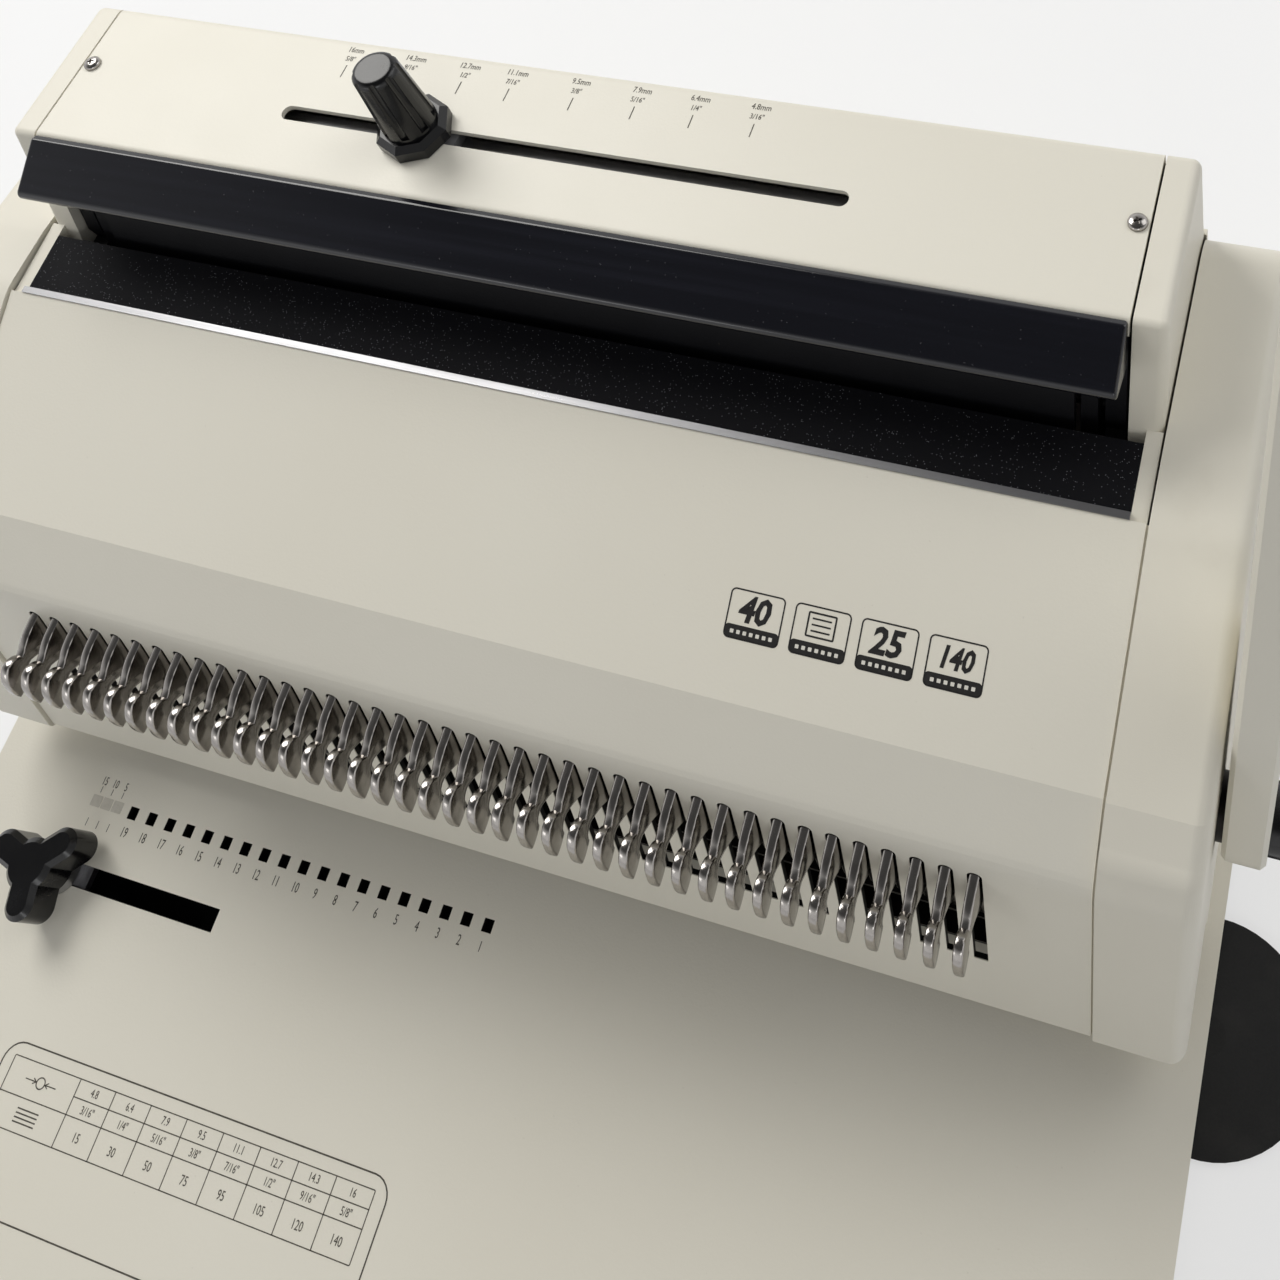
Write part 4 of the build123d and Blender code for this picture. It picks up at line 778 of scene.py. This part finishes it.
FINGER_TOP = ((0.025, -0.015), (0.055, 0.158), (0.094, 0.347), (0.147, 0.495), (0.164, 0.564))
FINGER_NOSE = (
    (0.13, 0.708), (0.143, 0.876), (0.194, 0.965), (0.274, 1.0), (0.343, 0.99), (0.404, 0.936))
FINGER_LOW = (
    (0.385, 0.772), (0.343, 0.624), (0.275, 0.574), (0.257, 0.475), (0.283, 0.277), (0.351, 0.01))
FINGER_BACK = ((0.37, -0.2), (0.64, -0.36), (0.64, -0.92), (0.26, -0.92), (0.08, -0.45))


def arc(first, middle, last, steps):
    """Points of the arc through three points, without its last one."""
    ax, ay = first
    bx, by = middle
    cx, cy = last
    d = 2 * (ax * (by - cy) + bx * (cy - ay) + cx * (ay - by))
    a, b, c = ax * ax + ay * ay, bx * bx + by * by, cx * cx + cy * cy
    x = (a * (by - cy) + b * (cy - ay) + c * (ay - by)) / d
    y = (a * (cx - bx) + b * (ax - cx) + c * (bx - ax)) / d
    start = math.atan2(ay - y, ax - x)
    turns = [math.atan2(q - y, p - x) - start for p, q in (middle, last)]
    if d > 0:
        turns = [turn % math.tau for turn in turns]
    else:
        turns = [-(-turn % math.tau) for turn in turns]
    radius = math.hypot(ax - x, ay - y)
    angles = [start + turns[1] * i / steps for i in range(steps)]
    return [(x + radius * math.cos(t), y + radius * math.sin(t)) for t in angles]


def finger_outline():
    """Outline of a finger, as reach out of the face and height up the face."""
    reach, back, slot = 20.2, 14.0, 53.0
    bend_up, slot_below_bend = 108.15, 20.9
    top = bend_up - slot_below_bend
    crest, nose, low = [
        [(b * reach, top - a * slot) for a, b in row] for row in (FINGER_TOP, FINGER_NOSE, FINGER_LOW)]
    points = [crest[0]] + arc(*crest[1:4], 7) + [crest[3]]
    points += arc(crest[4], nose[0], nose[1], 8) + arc(*nose[1:4], 5) + arc(*nose[3:6], 5)
    points += arc(nose[5], low[0], low[1], 5) + arc(*low[1:4], 5) + arc(*low[3:6], 5) + [low[5]]
    return points + [(b * back, top - a * slot) for a, b in FINGER_BACK]


def finger_shape(thick, edge):
    """One finger with rounded edges, in the maker's frame."""
    shape = bmesh.new()
    outline = [SLOTTED @ Vector((-thick / 2, up, out)) for out, up in finger_outline()]
    side = shape.faces.new([shape.verts.new(corner) for corner in outline])
    grown = bmesh.ops.extrude_face_region(shape, geom=[side])
    moved = [v for v in grown["geom"] if isinstance(v, bmesh.types.BMVert)]
    bmesh.ops.translate(shape, vec=(thick, 0.0, 0.0), verts=moved)
    bmesh.ops.recalc_face_normals(shape, faces=shape.faces)
    rims = [e for e in shape.edges if abs(e.verts[0].co.x - e.verts[1].co.x) < thick / 2]
    bmesh.ops.bevel(shape, geom=rims, offset=edge, segments=3, profile=0.5, affect="EDGES")
    return shape


class MACHINE_OT_fingers(bpy.types.Operator):
    """Row of plated wire fingers in the slots of the front panel"""
    bl_idname = "machine.fingers"
    bl_label = "Wire fingers"

    def execute(self, context):
        sizes = context.scene.machine_fingers
        shape = finger_shape(sizes.thick / MM, sizes.edge / MM)
        row = row_of(
            shape, "plated_fingers", sizes.count, sizes.pitch / MM, "chrome", "base", 30.0)
        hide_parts("wire_fingers")
        return {"FINISHED"}


# Grip of the lever, with its lengths measured along the lever from the shaft

SHAFT_Y, SHAFT_Z = 89.0, 70.0
LEVER_LEAN = 20.0
GRIP = {
    "middle": 236.0, "half": 7.5, "wide": 16.0, "low": 228.0, "top": 329.3, "round": 5.0,
    "end_depth": 0.62, "squareness": 0.36, "groove": 0.4, "groove_pitch": 11.0,
    "ring_pitch": 0.8, "sides": 44,
}


def grip_shape():
    """Slim rubber grip with shallow grooves."""
    shape = bmesh.new()
    lean = math.radians(LEVER_LEAN)
    count = int((GRIP["top"] - GRIP["low"]) / GRIP["ring_pitch"])
    rings = []
    for i in range(count + 1):
        along = GRIP["low"] + (GRIP["top"] - GRIP["low"]) * i / count
        ends = min(along - GRIP["low"], GRIP["top"] - along, GRIP["round"]) / GRIP["round"]
        shrink = GRIP["round"] * (1.0 - math.sqrt(1.0 - (1.0 - ends) ** 2)) * GRIP["end_depth"]
        wave = math.cos((along - GRIP["low"]) / GRIP["groove_pitch"] * math.tau)
        shrink += GRIP["groove"] * max(wave, 0.0) ** 4 * ends
        ring = []
        for turn in range(GRIP["sides"]):
            angle = math.tau * turn / GRIP["sides"]
            x, w = [
                math.copysign(abs(way) ** GRIP["squareness"], way) * (half - shrink)
                for way, half in ((math.cos(angle), GRIP["half"]), (math.sin(angle), GRIP["wide"]))]
            y = SHAFT_Y + along * math.sin(lean) + w * math.cos(lean)
            z = SHAFT_Z + along * math.cos(lean) - w * math.sin(lean)
            ring.append(shape.verts.new((GRIP["middle"] + x, y, z)))
        rings.append(ring)
    for low, high in zip(rings, rings[1:]):
        bridge(shape, low, high)
    shape.faces.new(rings[0])
    shape.faces.new(rings[-1])
    return shape


class MACHINE_OT_grip(bpy.types.Operator):
    """Rubber grip on the lever"""
    bl_idname = "machine.grip"
    bl_label = "Lever grip"

    def execute(self, context):
        grip = set_down(grip_shape(), "rubber_grip", "black_rubber", "handle", 50.0)
        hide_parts("handle_grip")
        return {"FINISHED"}


# Screws of the head panel, with their way up the panel and their distance

SCREW_UP, SCREWS_APART = 31.0, 368.0


def cross_screw(radius, dome, shank, length):
    """Pan head screw with a cross recess, seated on the level z = 0."""
    shape = bmesh.new()
    steps, sides, rim = 6, 32, 0.35
    profile = [(0.0, dome)]
    for i in range(1, steps + 1):
        angle = math.radians(90 * i / steps)
        profile.append((radius * math.sin(angle), dome * (rim + (1 - rim) * math.cos(angle))))
    profile += [(radius, 0.0), (shank, 0.0), (shank, -length), (0.0, -length)]
    turns = [math.tau * i / sides for i in range(sides)]
    rings = []
    for r, z in profile:
        spots = [(r * math.cos(turn), r * math.sin(turn), z) for turn in turns]
        rings.append([shape.verts.new(spot) for spot in (spots if r else spots[:1])])
    for low, high in zip(rings, rings[1:]):
        bridge(shape, low, high)
    bmesh.ops.recalc_face_normals(shape, faces=shape.faces)
    return recessed(shape, radius, dome)


def recessed(shape, radius, dome):
    """The screw with a cross cut into its dome."""
    cutter = bmesh.new()
    long, thick, deep = radius * 1.15, radius * 0.26, dome * 1.2
    for turn in (0.0, 90.0):
        verts = bmesh.ops.create_cube(cutter, size=1.0)["verts"]
        bmesh.ops.scale(cutter, vec=(long, thick, deep), verts=verts)
        for vert in verts:
            if vert.co.z < 0:
                vert.co.x *= 0.35
                vert.co.y *= 0.7
        bmesh.ops.rotate(cutter, matrix=Matrix.Rotation(math.radians(turn), 3, "Z"), verts=verts)
        bmesh.ops.translate(cutter, vec=(0.0, 0.0, dome * 0.85), verts=verts)
    head = show("screw", mesh_of(shape, "screw"))
    blade = show("cross", mesh_of(cutter, "cross"))
    cut = head.modifiers.new("cross", "BOOLEAN")
    cut.operation = "DIFFERENCE"
    cut.object = blade
    cut.use_self = True
    result = bmesh.new()
    result.from_mesh(settled(head))
    bpy.data.objects.remove(blade)
    return result


class MACHINE_OT_screws(bpy.types.Operator):
    """The two cross-recess screws of the head panel"""
    bl_idname = "machine.screws"
    bl_label = "Head screws"

    def execute(self, context):
        shape = cross_screw(3.0, 1.8, 1.6, 8.0)
        bmesh.ops.rotate(shape, matrix=Matrix.Rotation(math.radians(25.0), 3, "Z"), verts=shape.verts)
        seat = HEAD @ Matrix.Translation((0.0, SCREW_UP, 0.0))
        bmesh.ops.transform(shape, matrix=seat, verts=shape.verts)
        row = row_of(shape, "cross_screws", 2, SCREWS_APART, "chrome", "base", 40.0)
        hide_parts("head_screws")
        return {"FINISHED"}


# Printed scales

# Wire sizes in millimetres and inches, with the sheets that each holds
SIZES = (
    ("16", "5/8", 140), ("14.3", "9/16", 120), ("12.7", "1/2", 105), ("11.1", "7/16", 95),
    ("9.5", "3/8", 75), ("7.9", "5/16", 50), ("6.4", "1/4", 30), ("4.8", "3/16", 15),
)
# Places of the sizes along the head's slot, and of the edge guide's steps along the table's
SIZE_TICKS = (-87.5, -64.0, -43.2, -25.3, -1.9, 20.0, 40.4, 61.2)
GUIDE_STEPS = ((15, -182.4), (10, -177.5), (5, -172.6))
WINDOWS = 19


class MACHINE_OT_window_figures(bpy.types.Operator):
    """Figures 1 to 19 under the table's windows, and the edge guide's scale"""
    bl_idname = "machine.window_figures"
    bl_label = "Window figures"

    def execute(self, context):
        height = context.scene.machine_prints.window_figure / MM
        below, above, narrow, thin = -6.6, 7.6, 0.62, 0.22
        prints = Printing("window_figures", "grey_ink")
        for number in range(1, WINDOWS + 1):
            x = -(number + 0.5) * PITCH - 0.2
            prints.figures(TABLE, str(number), x, below, height, narrow)
        for step, x in GUIDE_STEPS:
            prints.figures(TABLE, str(step), x, above, height * 0.86, narrow)
        for _, x in GUIDE_STEPS:
            prints.line(TABLE, (x, -5.6), (x, -8.4), thin)
            prints.line(TABLE, (x, 5.6), (x, 3.4), thin)
        prints.done()
        tint = Printing("scale_tint", "pale_ink")
        for _, x in GUIDE_STEPS:
            tint.patch(TABLE, round_box(x - 2.2, -1.6, x + 2.2, 2.4, 0.3, 2))
        tint.done()
        return {"FINISHED"}


class MACHINE_OT_wire_chart(bpy.types.Operator):
    """Chart of wire sizes on the table: lines and plain figures"""
    bl_idname = "machine.wire_chart"
    bl_label = "Wire chart"

    def execute(self, context):
        sizes = context.scene.machine_prints
        width, height = sizes.chart_line / MM, sizes.chart_figure / MM
        left, right, first, pitch, narrow = -168.0, -19.6, -139.2, 14.95, 0.72
        rows = (-80.6, -86.1, -91.5, -101.5)
        prints = Printing("wire_chart", "grey_ink")
        prints.frame(TABLE, -172.4, -124.9, -14.6, -76.4, 7.0, width * 1.5)
        prints.frame(TABLE, left, rows[3], right, rows[0], 0.6, width)
        prints.line(TABLE, (left, rows[2]), (right, rows[2]), width)
        prints.line(TABLE, (first, rows[1]), (right, rows[1]), width)
        for column in range(len(SIZES)):
            x = first + pitch * column
            prints.line(TABLE, (x, rows[0]), (x, rows[3]), width)
        for column, (metric, inch, sheets) in enumerate(reversed(SIZES)):
            x = first + pitch * (column + 0.5)
            prints.figures(TABLE, metric, x, (rows[0] + rows[1]) / 2, height, narrow)
            prints.figures(TABLE, inch + '"', x, (rows[1] + rows[2]) / 2, height, narrow)
            prints.figures(TABLE, str(sheets), x, (rows[2] + rows[3]) / 2, height * 1.15, narrow)
        middle = (left + first) / 2
        level = (rows[0] + rows[2]) / 2
        ring, tail, barb, tip = 1.9, 6.5, 3.2, 1.95
        prints.ring(TABLE, middle, level, ring, width * 1.2)
        for side in (-1, 1):
            prints.line(TABLE, (middle + side * ring, level), (middle + side * tail, level), width)
            for y in (level + 0.85, level - 0.85):
                prints.line(TABLE, (middle + side * barb, y), (middle + side * tip, level), width)
        lowest, sheet_pitch, half = -98.4, 1.3, 4.5
        for sheet in range(4):
            y = lowest + sheet * sheet_pitch
            prints.line(TABLE, (middle - half, y), (middle + half, y), width * 1.3)
        prints.done()
        return {"FINISHED"}


class MACHINE_OT_size_scale(bpy.types.Operator):
    """Wire sizes along the slot of the head panel: ticks and figures"""
    bl_idname = "machine.size_scale"
    bl_label = "Size scale"

    def execute(self, context):
        height = context.scene.machine_prints.scale_figure / MM
        prints = Printing("size_scale", "grey_ink")
        for x, (metric, inch, _) in zip(SIZE_TICKS, SIZES):
            prints.line(HEAD, (x, 40.6), (x, 45.6), 0.32)
            prints.figures(HEAD, inch + '"', x, 48.4, height * 0.9, 0.8)
            prints.figures(HEAD, metric + "mm", x + 0.4, 52.2, height, 0.78)
        prints.done()
        return {"FINISHED"}


class MACHINE_OT_badges(bpy.types.Operator):
    """Four small tiles on the slope: figures and plain pictures of holes"""
    bl_idname = "machine.badges"
    bl_label = "Slope tiles"

    def execute(self, context):
        dark = Printing("slope_tiles", "black_ink")
        pale = Printing("slope_tile_marks", "white_ink")
        low, high, first, pitch, wide = 34.7, 48.8, 83.7, 20.2, 17.1
        for place, text in enumerate(("40", "", "25", "140")):
            left = first + pitch * place
            right = left + wide
            middle = (left + right) / 2
            dark.frame(SLOPE, left, low, right, high, 1.6, 0.42)
            dark.patch(SLOPE, round_box(left + 0.2, low + 0.2, right - 0.2, low + 4.0, 1.2))
            if text:
                height, squeeze = (7.2, 0.92) if len(text) == 2 else (6.0, 0.80)
                dark.figures(SLOPE, text, middle, low + 8.9, height, squeeze, 0.045, 0.16)
            else:
                dark.frame(SLOPE, middle - 4.4, low + 5.4, middle + 4.4, low + 12.4, 0.5, 0.5)
                for row in range(3):
                    y = low + 7.2 + row * 1.7
                    dark.line(SLOPE, (middle - 2.9, y), (middle + 2.9, y), 0.45)
            for hole in range(7):
                x = middle + (hole - 3) * 2.0
                mark = round_box(x - 0.55, low + 1.55, x + 0.55, low + 2.65, 0.15, 2)
                pale.patch(SLOPE, mark, INK_THICK + INK_LIFT)
        dark.done()
        pale.done()
        return {"FINISHED"}


class MACHINE_OT_finishes(bpy.types.Operator):
    """Finishes of every solid of the machine"""
    bl_idname = "machine.finishes"
    bl_label = "Finishes"

    def execute(self, context):
        finishes = make_finishes(context.scene.machine_colours)
        for subpart in frame["record"]["subparts"]:
            name = OWN_FINISH.get(subpart["node"], subpart["material_slot"])
            for slot in frame["nodes"][subpart["node"]].material_slots:
                slot.material = finishes[name]
        return {"FINISHED"}


# Stage

# Point that the lights look at
MIDDLE = (0.0, 0.0, 0.12)


def soft_light(name, spot, size, power, colour):
    """A large square light that looks at the machine."""
    lamp = bpy.data.lights.new(name, "AREA")
    lamp.shape = "RECTANGLE"
    lamp.size, lamp.size_y = size
    lamp.energy = power
    lamp.color = colour
    aim = (Vector(MIDDLE) - Vector(spot)).to_track_quat("-Z", "Y")
    show(name, lamp).matrix_world = Matrix.Translation(spot) @ aim.to_matrix().to_4x4()


def seen_white(tree, lit, white, share):
    """A lit shader that rays from the camera, mirrors and glass see with a share of a white one."""
    path = lay(tree, "ShaderNodeLightPath").outputs
    seen = lay_sum(tree, "MAXIMUM", path["Is Camera Ray"], path["Is Glossy Ray"])
    seen = lay_sum(tree, "MAXIMUM", seen, path["Is Transmission Ray"])
    part = lay_sum(tree, "MULTIPLY", seen, share)
    return lay(tree, "ShaderNodeMixShader", None, {0: part, 1: lit, 2: white}).outputs[0]


def lay_floor(colour):
    """Pale plain floor that keeps the machine's shadow."""
    half = 6.0
    corners = [(-half, -half, 0), (half, -half, 0), (half, half, 0), (-half, half, 0)]
    mesh = bpy.data.meshes.new("floor")
    mesh.from_pydata(corners, [], [(0, 1, 2, 3)])
    material = bpy.data.materials.new("floor")
    material.use_nodes = True
    tree = material.node_tree
    shader = tree.nodes["Principled BSDF"]
    put(tree, shader.inputs["Base Color"], colour)
    put(tree, shader.inputs["Roughness"], 0.9)
    glow = lay(tree, "ShaderNodeEmission")
    mix = seen_white(tree, shader.outputs[0], glow.outputs[0], 0.55)
    put(tree, tree.nodes["Material Output"].inputs["Surface"], mix)
    mesh.materials.append(material)
    floor = show("floor", mesh)


def light_room(strength):
    """White room with a dim ceiling, which bright metal mirrors."""
    world = bpy.data.worlds.new("room")
    world.use_nodes = True
    bpy.context.scene.world = world
    tree = world.node_tree
    tree.nodes.clear()
    way = lay(tree, "ShaderNodeTexCoord").outputs["Generated"]
    up = lay(tree, "ShaderNodeSeparateXYZ", None, {0: way}).outputs["Z"]
    fade = lay(tree, "ShaderNodeMapRange", None, {
        "Value": up, "From Min": 0.35, "From Max": 0.80, "To Min": 1.0, "To Max": 0.10,
    })
    white = (1.0, 1.0, 1.0, 1.0)
    dim = lay(tree, "ShaderNodeBackground", None, {"Color": white, "Strength": strength})
    plain = lay(tree, "ShaderNodeBackground", None, {"Color": white, "Strength": fade.outputs[0]})
    mix = seen_white(tree, dim.outputs[0], plain.outputs[0], 1.0)
    lay(tree, "ShaderNodeOutputWorld", None, {"Surface": mix})


def set_camera():
    """Camera over the right end of the machine, looking down to the left."""
    camera = bpy.data.cameras.new("camera")
    camera.lens = 43.53
    camera.sensor_width = 36.0
    camera.shift_x = -0.204
    camera.shift_y = -0.4166
    camera.clip_start = 0.01
    holder = show("camera", camera)
    holder.matrix_world = Matrix((
        (0.9516, -0.1302, 0.2783, 0.23806),
        (0.2524, 0.8478, -0.4663, -0.02811),
        (-0.1752, 0.5140, 0.8397, 0.62414),
        (0.0, 0.0, 0.0, 1.0),
    ))
    bpy.context.scene.camera = holder


class MACHINE_OT_stage(bpy.types.Operator):
    """Camera, lights, room and floor"""
    bl_idname = "machine.stage"
    bl_label = "Stage"

    def execute(self, context):
        stage = context.scene.machine_stage
        set_camera()
        light_room(stage.room)
        lay_floor(tuple(stage.floor))
        white = (1.0, 1.0, 1.0)
        for name, spot, size, power, colour in (
            ("main_light", (-0.95, 0.80, 1.35), (0.9, 0.9), stage.key_power, (1.0, 0.985, 0.95)),
            ("front_light", (0.7, -1.5, 1.1), (0.5, 0.4), stage.fill_power, (0.97, 0.985, 1.0)),
            ("low_light", (-0.8, -1.5, 0.75), (0.5, 0.35), stage.fill_power * 0.5, white),
            ("right_light", (0.95, 0.90, 1.32), (0.9, 0.9), stage.key_power * 0.3, white),
        ):
            soft_light(name, spot, size, power, colour)
        context.scene.view_settings.view_transform = "Standard"
        return {"FINISHED"}


# In this order, because the pieces look for their finishes
STEPS = (
    "stage", "finishes", "folds", "fingers", "grip", "screws",
    "window_figures", "wire_chart", "size_scale", "badges",
)


class MACHINE_PT_sidebar(bpy.types.Panel):
    """Sizes, colours and steps of the machine"""
    bl_idname = "MACHINE_PT_sidebar"
    bl_label = "Wire binding machine"
    bl_space_type = "VIEW_3D"
    bl_region_type = "UI"
    bl_category = "Machine"

    def draw(self, context):
        for group in (context.scene.machine_colours, context.scene.machine_fingers,
                      context.scene.machine_prints, context.scene.machine_stage):
            box = self.layout.box()
            for name in group.bl_rna.properties.keys():
                if name not in ("rna_type", "name"):
                    box.prop(group, name)
        for step in STEPS:
            self.layout.operator("machine." + step)


GROUPS = {
    "machine_colours": MachineColours,
    "machine_fingers": FingerSizes,
    "machine_prints": PrintSizes,
    "machine_stage": StageSettings,
}
CLASSES = (
    *GROUPS.values(),
    MACHINE_OT_stage, MACHINE_OT_finishes, MACHINE_OT_folds, MACHINE_OT_fingers, MACHINE_OT_grip,
    MACHINE_OT_screws, MACHINE_OT_window_figures, MACHINE_OT_wire_chart, MACHINE_OT_size_scale,
    MACHINE_OT_badges, MACHINE_PT_sidebar,
)


def register():
    """Adds the classes and the scene's settings."""
    for kind in CLASSES:
        bpy.utils.register_class(kind)
    for name, group in GROUPS.items():
        setattr(bpy.types.Scene, name, bpy.props.PointerProperty(type=group))


def unregister():
    """Takes them away again."""
    for name in GROUPS:
        delattr(bpy.types.Scene, name)
    for kind in reversed(CLASSES):
        bpy.utils.unregister_class(kind)


def main():
    """Registers the classes and dresses the machine, step by step."""
    register()
    for step in STEPS:
        getattr(bpy.ops.machine, step)()


if __name__ == "__main__":
    main()
